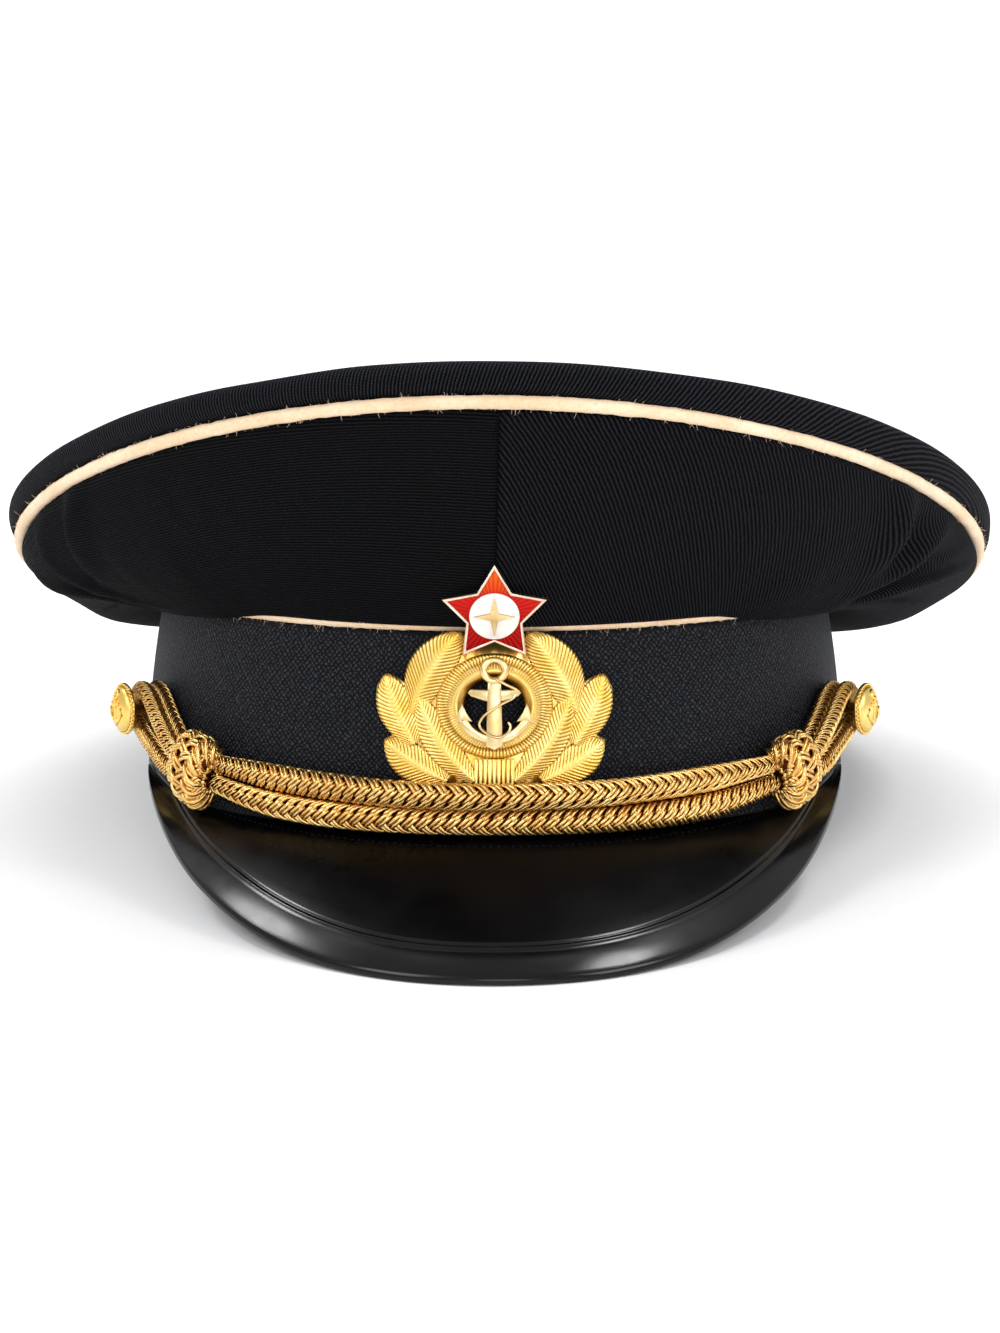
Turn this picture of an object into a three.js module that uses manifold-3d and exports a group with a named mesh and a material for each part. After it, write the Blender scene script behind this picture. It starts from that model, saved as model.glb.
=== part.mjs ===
// A naval officer's peaked cap, in millimetres.
// The cap is drawn in its own frame: the origin is the middle of the band's lower edge, +Z runs up the band
// and the front faces -Y. At the end the whole cap is tilted back until the visor's edge and the rear hem
// both rest on the ground, z = 0.

import * as THREE from "three";
import { mergeVertices } from "three/addons/utils/BufferGeometryUtils.js";
import Module from "manifold-3d";

const wasm = await Module();
wasm.setup();

const degree = Math.PI / 180;

// Driving sizes

const band = { height: 47.6, foot: [89.6, 108], head: [85, 103], wall: 3, edge: 0.8, belly: 1.3, press: 0.4 };
const bandPiping = { radius: 1.3, height: 49.2, proud: 0.2 };

// The crown seam is an oval in plan. Its height round the cap is a short cosine series: mean, tilt from
// front to rear, saddle, shoulder. The wearer's left sits a little higher than the right.
const crown = {
  half: [123.4, 137],
  middle: [1.2, 4],
  cloth: 1.5,
  waves: [60.0, 39.0, 5.1, -0.7],
  lean: 1.3,
  slope: 17 * degree,
  dome: 8,
};
const crownPiping = { radius: 1.5 };

// The top cloth rolls over the hoop: each row is a point of that roll, measured from the crown seam.
const rimRoll = [
  { out: -0.7, up: 2.5 },
  { out: 1.6, up: 3.5 },
  { out: 2.4, up: 6.2 },
  { out: 1.2, up: 8.2 },
  { out: -2.2, up: 9.2 },
  { out: -7.0, up: 9.4 },
];
const rimGain = 0.1; // the roll stands taller on the wearer's left
const topRings = [0.8, 0.5, 0.2, 0];

// How the side cloth runs from the band to the crown seam, from the front round to the rear: its rise above
// level at the band and how far it keeps to that, its fall below level at the seam and how far it keeps to
// that, and how far its lower edge drops below the middle of the band's piping.
const sideDrape = [
  { angle: 0, rise: 66, foot: 14, fall: 63, hang: 16, drop: -0.4 },
  { angle: 25, rise: 60, foot: 14, fall: 66, hang: 15, drop: -0.7 },
  { angle: 38, rise: 48, foot: 14, fall: 69, hang: 15, drop: -0.6 },
  { angle: 48, rise: 30, foot: 13, fall: 69, hang: 15, drop: 1.5 },
  { angle: 62, rise: 8, foot: 12, fall: 66, hang: 14, drop: 3.0 },
  { angle: 78, rise: -8, foot: 11, fall: 52, hang: 12, drop: 3.6 },
  { angle: 105, rise: -60, foot: 20, fall: 28, hang: 13, drop: 4.4 },
  { angle: 140, rise: -60, foot: 22, fall: 14, hang: 17, drop: 4.6 },
  { angle: 180, rise: -40, foot: 16, fall: -20, hang: 13, drop: 3.6 },
];

// The side cloth's lower edge stands proud of the band, and its upper edge is inside and below the seam.
const sideSeat = { proud: 2.2, inside: 0.8, below: 2.6 };
const sideLead = 1.5; // degrees by which the wearer's left drapes ahead of the right
const sideSteps = [0, 0.15, 0.32, 0.5, 0.68, 0.85, 1];
const seamHalf = 0.1; // degrees, half of the gap where the side cloths meet

// Soft folds of the side cloth, fanning from the band's corners. Angles run from the front, negative to the
// wearer's right; low is where a fold meets the band, high where it meets the crown seam.
const folds = [
  { low: 66, high: 57, width: 5.0, height: 1.6, from: 0.2, to: 0.95 },
  { low: 74, high: 66, width: 4.5, height: -1.3, from: 0.15, to: 0.9 },
  { low: 80, high: 78, width: 5.0, height: 1.6, from: 0.1, to: 0.85 },
  { low: 92, high: 95, width: 7.0, height: -1.2, from: 0.1, to: 0.8 },
  { low: 118, high: 124, width: 9.0, height: 1.2, from: 0.1, to: 0.8 },
  { low: 150, high: 146, width: 9.0, height: -1.1, from: 0.1, to: 0.8 },
  { low: -68, high: -60, width: 4.5, height: 1.5, from: 0.2, to: 0.95 },
  { low: -76, high: -67, width: 4.5, height: -1.3, from: 0.15, to: 0.9 },
  { low: -82, high: -82, width: 5.5, height: 1.5, from: 0.1, to: 0.85 },
  { low: -98, high: -100, width: 7.0, height: -1.2, from: 0.1, to: 0.8 },
  { low: -126, high: -120, width: 9.0, height: 1.1, from: 0.1, to: 0.8 },
  { low: -158, high: -160, width: 9.0, height: -1.0, from: 0.1, to: 0.8 },
];

const visor = {
  half: [87.65, 125],
  middle: -25,
  drop: 27.7,
  flat: 3.3,
  sweep: 86,
  rootSweep: 75,
  wall: 1.8,
  root: { height: 0.6, off: 0.4 },
  rim: { across: 10, drop: 7.4, share: 0.5, step: 0.5, groove: 0.8 },
  camber: 1.4,
};

const button = {
  angle: 68.5,
  height: 21.4,
  radius: 6.5,
  dome: 2.8,
  rim: 1.0,
  edge: 0.5,
  shank: 1.2,
  standOff: 9.7,
  seat: 0.5,
};
const knot = {
  angle: 49.2,
  height: 10.9,
  length: 10.5,
  tall: 18,
  deep: 11,
  bore: { tall: 12, deep: 9.8, square: 0.45 },
  standOff: 6,
  waist: 0.72, // the ends' share of the full girth
  tilt: 16 * degree,
};

// The chin cord's right half, from the middle of the front: angle round the band, height up it, distance of
// the cord's middle from the band, and the cord's width and depth there.
const cordRoute = [
  { angle: 0, height: 10.0, off: 6.2, wide: 5.8, deep: 5.0 },
  { angle: 7, height: 10.1, off: 6.1, wide: 5.8, deep: 5.0 },
  { angle: 15, height: 10.3, off: 5.4, wide: 5.8, deep: 5.0 },
  { angle: 24, height: 10.7, off: 3.8, wide: 5.8, deep: 5.0 },
  { angle: 34, height: 11.4, off: 3.1, wide: 5.8, deep: 5.0 },
  { angle: 40, height: 12.2, off: 3.6, wide: 5.0, deep: 4.4 },
  { angle: 45, height: 12.8, off: 4.2, wide: 4.2, deep: 3.6 },
  { angle: 52.5, height: 14.4, off: 4.2, wide: 4.2, deep: 3.6 },
  { angle: 59, height: 20.0, off: 3.1, wide: 4.2, deep: 3.6 },
  { angle: 65, height: 24.9, off: 2.3, wide: 4.2, deep: 3.6 },
  { angle: 68.5, height: 26.0, off: 2.3, wide: 4.2, deep: 3.6 },
  { angle: 71.0, height: 24.2, off: 2.3, wide: 4.2, deep: 3.6 },
  { angle: 71.6, height: 21.4, off: 2.3, wide: 4.2, deep: 3.6 },
  { angle: 70.4, height: 18.4, off: 2.3, wide: 4.2, deep: 3.6 },
  { angle: 67.4, height: 16.4, off: 2.3, wide: 4.2, deep: 3.6 },
  { angle: 61, height: 13.6, off: 3.1, wide: 4.2, deep: 3.6 },
  { angle: 54, height: 9.8, off: 4.2, wide: 4.2, deep: 3.6 },
  { angle: 46, height: 8.0, off: 4.2, wide: 4.2, deep: 3.6 },
  { angle: 40, height: 6.2, off: 3.7, wide: 5.0, deep: 4.4 },
  { angle: 34, height: 4.8, off: 3.1, wide: 5.8, deep: 5.0 },
  { angle: 24, height: 3.9, off: 3.1, wide: 5.8, deep: 5.0 },
  { angle: 12, height: 3.7, off: 3.1, wide: 5.8, deep: 5.0 },
  { angle: 0, height: 3.7, off: 3.1, wide: 5.8, deep: 5.0 },
];
const outerLoopStep = 3.85; // the second loop round each button lies this much further out

// The badge is stamped and curved round the front of the band. Its own x runs across and y up from the
// middle of its ring.
const badge = {
  middle: 30.6,
  reach: [-16, 12],
  standOff: 1.1,
  bend: 92,
  plate: 0.9,
  relief: 0.9,
  ring: { outer: [13.6, 12.4], inner: [7.5, 6.9], crest: 10.7, lift: 1.5 },
};

// Half of the wreath's outline, from under the star down to the stems.
const wreathOutline = [
  { across: 0, up: 15.6 },
  { across: 7.7, up: 15.9 },
  { across: 10.2, up: 16.9 },
  { across: 12.6, up: 16.1 },
  { across: 15.3, up: 14.1 },
  { across: 18.0, up: 11.3 },
  { across: 19.8, up: 8.4 },
  { across: 20.9, up: 5.2 },
  { across: 22.2, up: 6.4 },
  { across: 24.4, up: 7.4 },
  { across: 26.6, up: 6.8 },
  { across: 27.8, up: 4.6 },
  { across: 28.0, up: 2.2 },
  { across: 27.2, up: -1.0 },
  { across: 25.8, up: -4.0 },
  { across: 24.0, up: -6.9 },
  { across: 25.8, up: -7.6 },
  { across: 26.0, up: -9.4 },
  { across: 24.4, up: -12.2 },
  { across: 21.6, up: -15.2 },
  { across: 17.6, up: -18.6 },
  { across: 10.0, up: -20.4 },
  { across: 0, up: -20.8 },
];

// Each leaf runs from its foot to its tip along a bowed midrib.
const leaves = [
  { foot: [11.0, -17.6], tip: [25.6, -8.0], bow: 0.9, wide: 8.4 },
  { foot: [4.6, -17.4], tip: [17.8, 2.0], bow: 1.8, wide: 7.6 },
  { foot: [18.6, -9.0], tip: [25.5, 7.2], bow: 0.8, wide: 8.2 },
  { foot: [19.4, -1.6], tip: [8.0, 16.6], bow: 1.7, wide: 9.6 },
];
const stems = { across: [-3.1, 0, 3.1], wide: 2.6, from: -20.7, to: -13.2 };

const anchor = {
  lift: 0.35,
  thick: 1.1,
  shank: { top: 5.4, foot: -9.6, head: 1.5, heel: 1.8, proud: 0.3 },
  stock: { half: 5.8, top: 3.6, tip: 2.2, root: 1.1 },
  arms: { middle: 0, inner: 6.9, outer: 8.9, sweep: 66, toe: 0.9 },
  fluke: { tip: [7.3, 0.4], barb: [8.7, -4.0], heel: [5.2, -3.9] },
  eye: { up: 8.2, radius: 2.45, wire: 0.85 },
};

// The star leans out over the crown, its lower points resting on the wreath.
const star = {
  points: 5,
  radius: 12.9,
  waist: 6.9,
  plate: 1.2,
  frame: 0.85,
  bed: 0.5,
  up: 21.6,
  lean: 26 * degree,
  seat: -0.25, // its points dip this far between the leaves' crests
};
const enamel = { gap: 0.15, thick: 0.3, bedGap: 0.1 };
const disc = { radius: 5.8, thick: 0.45, gap: 0.15 };
const rose = { points: 4, radius: 4.3, waist: 1.3, thick: 0.4, gap: 0.1 };

// Small tools: points, tables and closed skins

const at = (x, y, z) => new THREE.Vector3(x, y, z);
const mix = (a, b, share) => a + (b - a) * share;

// Reads a column of a table between its rows, smoothly. The rows are sorted by their key column.
function read(rows, key, column, place) {
  const next = rows.findIndex((row) => row[key] > place);
  const k = next < 0 ? rows.length - 2 : Math.max(next - 1, 0);
  const rowAt = (i) => rows[Math.min(Math.max(i, 0), rows.length - 1)];
  const [before, a, b, after] = [k - 1, k, k + 1, k + 2].map(rowAt);
  const span = b[key] - a[key];
  const slope = (p, q) => (span * (q[column] - p[column])) / (q[key] - p[key]);
  const s = Math.min(Math.max((place - a[key]) / span, 0), 1);
  const rise = s * s * (3 - 2 * s);
  return (
    mix(a[column], b[column], rise) +
    s * (1 - s) ** 2 * slope(before, b) -
    s * s * (1 - s) * slope(a, after)
  );
}

const valuesBetween = (from, to, count) =>
  Array.from({ length: count }, (_, i) => mix(from, to, i / (count - 1)));
const anglesBetween = (from, to, count) => valuesBetween(from, to, count).map((value) => value * degree);
const fullTurn = (count) => Array.from({ length: count }, (_, i) => (i / count) * 2 * Math.PI);

// A closed skin collects triangles, leaves out those that have shrunk to a line, and ends facing outwards.
class Skin {
  constructor() {
    this.corners = [];
  }
  triangle(a, b, c) {
    const shrunk = [[a, b], [b, c], [c, a]].some(([p, q]) => p.distanceTo(q) < 1e-4);
    if (!shrunk) this.corners.push(a, b, c);
  }
  quad(a, b, c, d) {
    this.triangle(a, b, c);
    this.triangle(a, c, d);
  }
  geometry() {
    let volume = 0;
    for (let i = 0; i < this.corners.length; i += 3) {
      const [a, b, c] = this.corners.slice(i, i + 3);
      volume += a.dot(b.clone().cross(c));
    }
    if (volume < 0) this.corners.reverse();
    return new THREE.BufferGeometry().setFromPoints(this.corners);
  }
}

// A wall between an outer and an inner surface, each given as rows of points.
function wall(rows, closed) {
  const skin = new Skin();
  const last = rows[0].outer.length - 1;
  for (let i = 0; i < rows.length - (closed ? 0 : 1); i++) {
    const [p, q] = [rows[i], rows[(i + 1) % rows.length]];
    for (let j = 0; j < last; j++) {
      skin.quad(p.outer[j], q.outer[j], q.outer[j + 1], p.outer[j + 1]);
      skin.quad(p.inner[j], p.inner[j + 1], q.inner[j + 1], q.inner[j]);
    }
    skin.quad(p.outer[0], p.inner[0], q.inner[0], q.outer[0]);
    skin.quad(p.outer[last], q.outer[last], q.inner[last], p.inner[last]);
  }
  if (!closed) {
    const [first, end] = [rows[0], rows[rows.length - 1]];
    for (let j = 0; j < last; j++) {
      skin.quad(first.outer[j], first.outer[j + 1], first.inner[j + 1], first.inner[j]);
      skin.quad(end.outer[j], end.inner[j], end.inner[j + 1], end.outer[j + 1]);
    }
  }
  return skin.geometry();
}

// A solid through rings of points. An open one is closed by a fan at each end.
function solid(rings, closed) {
  const skin = new Skin();
  const sides = rings[0].length;
  for (let i = 0; i < rings.length - (closed ? 0 : 1); i++) {
    const [p, q] = [rings[i], rings[(i + 1) % rings.length]];
    for (let j = 0; j < sides; j++) skin.quad(p[j], p[(j + 1) % sides], q[(j + 1) % sides], q[j]);
  }
  if (!closed) {
    const [first, last] = [rings[0], rings[rings.length - 1]];
    for (let j = 1; j < sides - 1; j++) {
      skin.triangle(first[0], first[j + 1], first[j]);
      skin.triangle(last[0], last[j], last[j + 1]);
    }
  }
  return skin.geometry();
}

// Joining and cutting of closed geometries
function asManifold(geometry) {
  const loose = geometry.index ? geometry.toNonIndexed() : geometry;
  const bare = new THREE.BufferGeometry().setAttribute("position", loose.getAttribute("position"));
  const merged = mergeVertices(bare, 1e-4);
  return new wasm.Manifold(
    new wasm.Mesh({
      numProp: 3,
      vertProperties: merged.attributes.position.array,
      triVerts: new Uint32Array(merged.index.array),
    }),
  );
}

function asGeometry(manifold) {
  const { vertProperties, triVerts } = manifold.getMesh();
  return new THREE.BufferGeometry()
    .setAttribute("position", new THREE.BufferAttribute(vertProperties, 3))
    .setIndex(new THREE.BufferAttribute(triVerts, 1));
}

// Places on the band and the crown

const outline = (half, angle) => at(half[0] * Math.sin(angle), -half[1] * Math.cos(angle), 0);
const outward = (half, angle) => at(Math.sin(angle) / half[0], -Math.cos(angle) / half[1], 0).normalize();

// A point beside the band's outer face.
function onBand(angle, height, off) {
  const share = height / band.height;
  const bulge = band.belly * 4 * share * (1 - share);
  const half = [0, 1].map((k) => mix(band.foot[k], band.head[k], share) + bulge);
  return outline(half, angle).addScaledVector(outward(half, angle), off).setZ(height);
}

const crownUp = at(0, Math.sin(crown.slope), Math.cos(crown.slope));

// A point of the crown: share is 1 at the seam and 0 at the middle; out and up are measured in the crown's
// own tilted plane.
function onCrown(angle, share, out, up) {
  const [mean, tilt, saddle, shoulder] = crown.waves;
  const height =
    mean +
    share * tilt * Math.cos(angle) +
    share ** 2 * saddle * Math.cos(2 * angle) +
    share ** 3 * shoulder * Math.cos(3 * angle) -
    share * crown.lean * Math.sin(angle);
  const flat = outward(crown.half, angle);
  const away = flat.clone().addScaledVector(crownUp, -flat.dot(crownUp)).normalize();
  return outline(crown.half, angle)
    .multiplyScalar(share)
    .add(at(crown.middle[0], crown.middle[1], height))
    .addScaledVector(away, out)
    .addScaledVector(crownUp, up);
}

// Cloth is a surface given a thickness along its own normal.
function cloth(surface, angles, steps, closed) {
  const near = 1e-3;
  const rows = angles.map((angle) => {
    const row = { outer: [], inner: [] };
    for (const step of steps) {
      const here = surface(angle, step);
      const round = surface(angle + near, step).sub(surface(angle - near, step));
      const [low, high] = [Math.max(step - near, steps[0]), Math.min(step + near, steps[steps.length - 1])];
      const along = surface(angle, high).sub(surface(angle, low));
      const normal = round.length() < 1e-6 ? crownUp.clone() : round.cross(along).normalize();
      row.outer.push(here.clone().addScaledVector(normal, crown.cloth / 2));
      row.inner.push(here.clone().addScaledVector(normal, -crown.cloth / 2));
    }
    return row;
  });
  return wall(rows, closed);
}

// The band: a stiff ring, a little narrower at the top

function makeBand() {
  const sections = [
    { height: 0, inset: band.edge },
    { height: band.edge, inset: 0 },
    { height: band.height / 2, inset: 0 },
    { height: band.height - band.edge, inset: 0 },
    { height: band.height, inset: band.edge },
  ];
  const rows = fullTurn(48).map((angle) => ({
    outer: sections.map(({ height, inset }) => onBand(angle, height, -inset)),
    inner: sections.map(({ height }) => onBand(angle, height, -band.wall)),
  }));
  return wall(rows, true);
}

// Pipings: round cords sewn into the seams

function makePiping(placeAt, radius) {
  const sides = 6;
  const rings = fullTurn(48).map((angle) => {
    const { middle, out, up } = placeAt(angle);
    return fullTurn(sides).map((turn) =>
      middle
        .clone()
        .addScaledVector(out, radius * Math.sin(turn))
        .addScaledVector(up, radius * Math.cos(turn)),
    );
  });
  return solid(rings, true);
}

const bandPipingAt = (angle) => ({
  middle: onBand(angle, band.height, bandPiping.proud).setZ(bandPiping.height),
  out: outward(band.head, angle),
  up: at(0, 0, 1),
});

function crownPipingAt(angle) {
  const middle = onCrown(angle, 1, 0, 0);
  return { middle, out: onCrown(angle, 1, 1, 0).sub(middle), up: crownUp };
}

// The crown: a top cloth rolled over the hoop, and two side cloths joined at the front and rear

const topRows = [
  ...rimRoll.map((row) => ({ share: 1, ...row })),
  ...topRings.map((share) => ({ share, out: 0, up: rimRoll[rimRoll.length - 1].up })),
].map((row, place) => ({ ...row, place }));
const topSteps = topRows.map((row) => row.place);

function topSurface(angle, step) {
  const [share, out, up] = ["share", "out", "up"].map((column) => read(topRows, "place", column, step));
  const gain = 1 + rimGain * Math.sin(angle) * (1 + Math.sin(angle));
  const dome = crown.dome * (1 - share ** 2) * (1 - share * Math.cos(angle)) ** 2;
  return onCrown(angle, share, out, up * mix(1, gain, share ** 4) + dome);
}

function foldHeight(angle, share) {
  let sum = 0;
  for (const fold of folds) {
    const away = (angle / degree - mix(fold.low, fold.high, share)) / fold.width;
    const run = (share - fold.from) / (fold.to - fold.from);
    if (run > 0 && run < 1) sum += fold.height * Math.exp(-away * away) * Math.sin(Math.PI * run);
  }
  return sum;
}

function sideSurface(angle, share) {
  const turn = Math.abs(angle / degree) + sideLead * Math.sin(angle);
  const column = (name) => read(sideDrape, "angle", name, turn);
  const foot = onBand(angle, band.height, sideSeat.proud).setZ(bandPiping.height - column("drop"));
  const top = onCrown(angle, 1, -sideSeat.inside, -sideSeat.below);
  const away = top.clone().sub(foot).setZ(0).normalize();
  const towards = (slope, length) =>
    away.clone().multiplyScalar(length * Math.cos(slope * degree)).setZ(length * Math.sin(slope * degree));
  const first = foot.clone().add(towards(column("rise"), column("foot")));
  const second = top.clone().sub(towards(column("fall"), column("hang")));
  const place = new THREE.CubicBezierCurve3(foot, first, second, top).getPoint(share);
  return place.addScaledVector(away, foldHeight(angle, share));
}

// The visor: a bent plate with a bevelled rim set off by a groove

function visorSection(share) {
  const { root, rim, camber } = visor;
  const start = onBand(share * visor.rootSweep * degree, root.height, root.off);
  const angle = share * visor.sweep * degree;
  const tip = outline(visor.half, angle)
    .add(at(0, visor.middle, 0))
    .setZ(visor.wall - visor.drop * (1 - Math.abs(Math.sin(angle)) ** visor.flat));
  const along = tip.clone().sub(start);
  const length = along.length();
  along.normalize();
  const full = Math.hypot(rim.across, rim.drop);
  const strip = Math.min(full, length * rim.share);
  const crease = tip.clone().addScaledVector(along, -strip).add(at(0, 0, (camber * strip) / full));
  const arch = (part) => {
    const swell = camber * 0.6 * Math.sin(Math.PI * part);
    return start.clone().lerp(crease, part).add(at(0, 0, swell));
  };
  return [
    start,
    arch(0.33),
    arch(0.66),
    crease.clone().addScaledVector(along, -rim.groove),
    crease.clone().add(at(0, 0, -rim.step)),
    crease.clone().addScaledVector(along, rim.groove).add(at(0, 0, rim.step)),
    tip.clone().lerp(crease, 0.4).add(at(0, 0, rim.step * 1.4)),
    tip,
  ];
}

function makeVisor() {
  const rows = valuesBetween(-1, 1, 31).map((share) => {
    const outer = visorSection(share);
    return { outer, inner: outer.map((p) => p.clone().add(at(0, 0, -visor.wall))) };
  });
  return { geometry: wall(rows, false), edge: rows.map((row) => row.inner[row.inner.length - 1]) };
}

// The chin cord: one closed loop that runs across the front twice and round both buttons

// A cord is swept through its route rows: the section is an oval, wide up the band and deep off it.
function sweep(rows, closed, steps, extra) {
  const sides = 8;
  const curveOf = (points) => new THREE.CatmullRomCurve3(points, closed, "centripetal");
  const route = curveOf(rows.map((row) => onBand(row.angle * degree, row.height, row.off + extra)));
  const count = closed ? steps : steps + 1;
  const rings = Array.from({ length: count }, (_, i) => {
    const share = route.getUtoTmapping(i / steps);
    const [middle, forward] = [route.getPoint(share), route.getTangent(share)];
    const place = share * (closed ? rows.length : rows.length - 1);
    const [row, next] = [0, 1].map((k) => rows[(Math.floor(place) + k) % rows.length]);
    const part = place % 1;
    const [wide, deep] = [mix(row.wide, next.wide, part), mix(row.deep, next.deep, part)];
    const flat = outward(band.foot, Math.atan2(middle.x / band.foot[0], -middle.y / band.foot[1]));
    const out = flat.addScaledVector(forward, -flat.dot(forward)).normalize();
    const up = forward.clone().cross(out);
    return fullTurn(sides).map((turn) =>
      middle
        .clone()
        .addScaledVector(out, (deep / 2) * Math.cos(turn))
        .addScaledVector(up, (wide / 2) * Math.sin(turn)),
    );
  });
  return solid(rings, closed);
}

const mirrored = (rows) => rows.map((row) => ({ ...row, angle: -row.angle })).reverse();
const chinRoute = [...cordRoute.slice(0, -1), ...mirrored(cordRoute).slice(0, -1)];

function endLoop(side) {
  const rows = cordRoute.filter((row) => row.angle > knot.angle - 5);
  return sweep(rows.map((row) => ({ ...row, angle: side * row.angle })), false, 20, outerLoopStep);
}

// A knot is a fat sleeve that the cord's four strands pass through

function makeKnot(side) {
  const angle = side * knot.angle * degree;
  const middle = onBand(angle, knot.height, knot.standOff);
  const out = outward(band.foot, angle);
  const along = at(0, 0, 1).cross(out).multiplyScalar(side);
  const axis = along.clone().multiplyScalar(Math.cos(knot.tilt)).setZ(Math.sin(knot.tilt));
  const up = along.clone().multiplyScalar(-Math.sin(knot.tilt)).setZ(Math.cos(knot.tilt));
  const squared = (value, power) => Math.sign(value) * Math.abs(value) ** power;
  const ringAt = (place, tall, deep, power) =>
    fullTurn(10).map((turn) =>
      middle
        .clone()
        .addScaledVector(axis, place * knot.length)
        .addScaledVector(up, (tall / 2) * squared(Math.sin(turn), power))
        .addScaledVector(out, (deep / 2) * squared(Math.cos(turn), power)),
    );
  const barrel = [-0.5, -0.42, -0.22, 0, 0.22, 0.42, 0.5].map((place) => {
    const girth = mix(knot.waist, 1, Math.sqrt(1 - (2 * place) ** 2));
    return ringAt(place, knot.tall * girth, knot.deep * mix(girth, 1, 0.5), 1);
  });
  const bore = [-0.8, 0.8].map((place) => ringAt(place, knot.bore.tall, knot.bore.deep, knot.bore.square));
  return asGeometry(asManifold(solid(barrel, false)).subtract(asManifold(solid(bore, false))));
}

// A domed button on a shank

function makeButton(side) {
  const { radius, rim, edge, dome, shank, standOff, seat } = button;
  const profile = [
    [0, seat - standOff],
    [shank, seat - standOff],
    [shank, 0],
    [radius - edge, 0],
    [radius, edge],
    [radius - edge / 2, rim],
    [radius - 2 * edge, rim],
    [radius * 0.72, rim + dome * 0.48],
    [radius * 0.4, rim + dome * 0.84],
    [0, rim + dome],
  ].map(([x, y]) => new THREE.Vector2(x, y));
  const angle = side * button.angle * degree;
  const place = onBand(angle, button.height, standOff);
  return new THREE.LatheGeometry(profile, 16)
    .applyQuaternion(new THREE.Quaternion().setFromUnitVectors(at(0, 1, 0), outward(band.foot, angle)))
    .translate(place.x, place.y, place.z);
}

// The badge: a stamped wreath, an anchor, and an enamelled star

const [badgeLow, badgeHigh] = badge.reach.map((up) => onBand(0, badge.middle + up, badge.standOff));
const badgeUp = badgeHigh.clone().sub(badgeLow).normalize();
const badgeOut = at(0, -badgeUp.z, badgeUp.y);
const badgeMiddle = onBand(0, badge.middle, badge.standOff);

// Sets a flat badge piece in its place: bent round the cap, or leaning out and flat.
function onBadge(geometry, { up = 0, off = 0, lean = 0, bend = badge.bend } = {}) {
  const rise = badgeUp.clone().multiplyScalar(Math.cos(lean)).addScaledVector(badgeOut, Math.sin(lean));
  const out = badgeOut.clone().multiplyScalar(Math.cos(lean)).addScaledVector(badgeUp, -Math.sin(lean));
  const origin = badgeMiddle.clone().addScaledVector(badgeUp, up).addScaledVector(badgeOut, off);
  const places = geometry.getAttribute("position");
  for (let i = 0; i < places.count; i++) {
    const [x, y, z] = [places.getX(i), places.getY(i), places.getZ(i)];
    const turn = x / bend;
    const reach = (bend + z) * Math.cos(turn) - bend;
    const place = origin.clone().addScaledVector(rise, y).addScaledVector(out, reach);
    places.setXYZ(i, (bend + z) * Math.sin(turn), place.y, place.z);
  }
  return geometry;
}

function plateOf(points, thick, lift = 0) {
  const shape = new THREE.Shape(points.map(([x, y]) => new THREE.Vector2(x, y)));
  return new THREE.ExtrudeGeometry(shape, { depth: thick, bevelEnabled: false }).translate(0, 0, lift);
}

const mirrorAcross = (half) => [...half, ...half.slice(1, -1).map(([x, y]) => [-x, y]).reverse()];

// A leaf with a raised midrib; side is 1 or -1.
function leafSolid({ foot, tip, bow, wide }, side) {
  const start = new THREE.Vector2(foot[0] * side, foot[1]);
  const run = new THREE.Vector2(tip[0] * side, tip[1]).sub(start);
  const across = new THREE.Vector2(-run.y, run.x).normalize();
  const crest = badge.plate + badge.relief;
  const section = [
    { part: -1, up: 0.2 },
    { part: 1, up: 0.2 },
    { part: 0.9, up: crest * 0.7 },
    { part: 0, up: crest },
    { part: -0.9, up: crest * 0.7 },
  ];
  const rings = [0, 0.15, 0.4, 0.7, 0.92, 1].map((share) => {
    const half = (wide / 2) * Math.sqrt(Math.sin(Math.PI * mix(0.12, 0.98, share)));
    const sway = -side * bow * 4 * share * (1 - share);
    return section.map(({ part, up }) => {
      const place = start.clone().addScaledVector(run, share).addScaledVector(across, sway + part * half);
      return at(place.x, place.y, up);
    });
  });
  return solid(rings, false);
}

function ringSolid() {
  const { outer, inner, crest, lift } = badge.ring;
  const profile = [
    { share: 0, up: 0 },
    { share: 1, up: 0 },
    { share: 1, up: badge.plate + 0.5 },
    { share: 0.8, up: badge.plate + lift },
    { share: (crest - inner[0]) / (outer[0] - inner[0]), up: badge.plate + 0.7 },
    { share: 0.25, up: badge.plate + lift * 0.8 },
    { share: 0, up: badge.plate + 0.4 },
  ];
  const rings = fullTurn(24).map((turn) =>
    profile.map(({ share, up }) => {
      const [across, along] = [0, 1].map((k) => mix(inner[k], outer[k], share));
      return at(across * Math.cos(turn), along * Math.sin(turn), up);
    }),
  );
  return solid(rings, true);
}

function makeWreath() {
  const { inner } = badge.ring;
  const half = wreathOutline.map(({ across, up }) => [across, up]);
  let body = asManifold(plateOf(mirrorAcross(half), badge.plate));
  for (const side of [1, -1]) for (const leaf of leaves) body = body.add(asManifold(leafSolid(leaf, side)));
  for (const x of stems.across) {
    const [left, right] = [x - stems.wide / 2, x + stems.wide / 2];
    const bar = [[left, stems.from], [right, stems.from], [right, stems.to], [left, stems.to]];
    body = body.add(asManifold(plateOf(bar, badge.plate + badge.relief)));
  }
  const plug = new THREE.CylinderGeometry(1, 1, 9, 28)
    .rotateX(Math.PI / 2)
    .scale(inner[0] + 0.4, inner[1] + 0.4, 1);
  body = body.subtract(asManifold(plug)).add(asManifold(ringSolid()));
  return onBadge(asGeometry(body));
}

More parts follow.
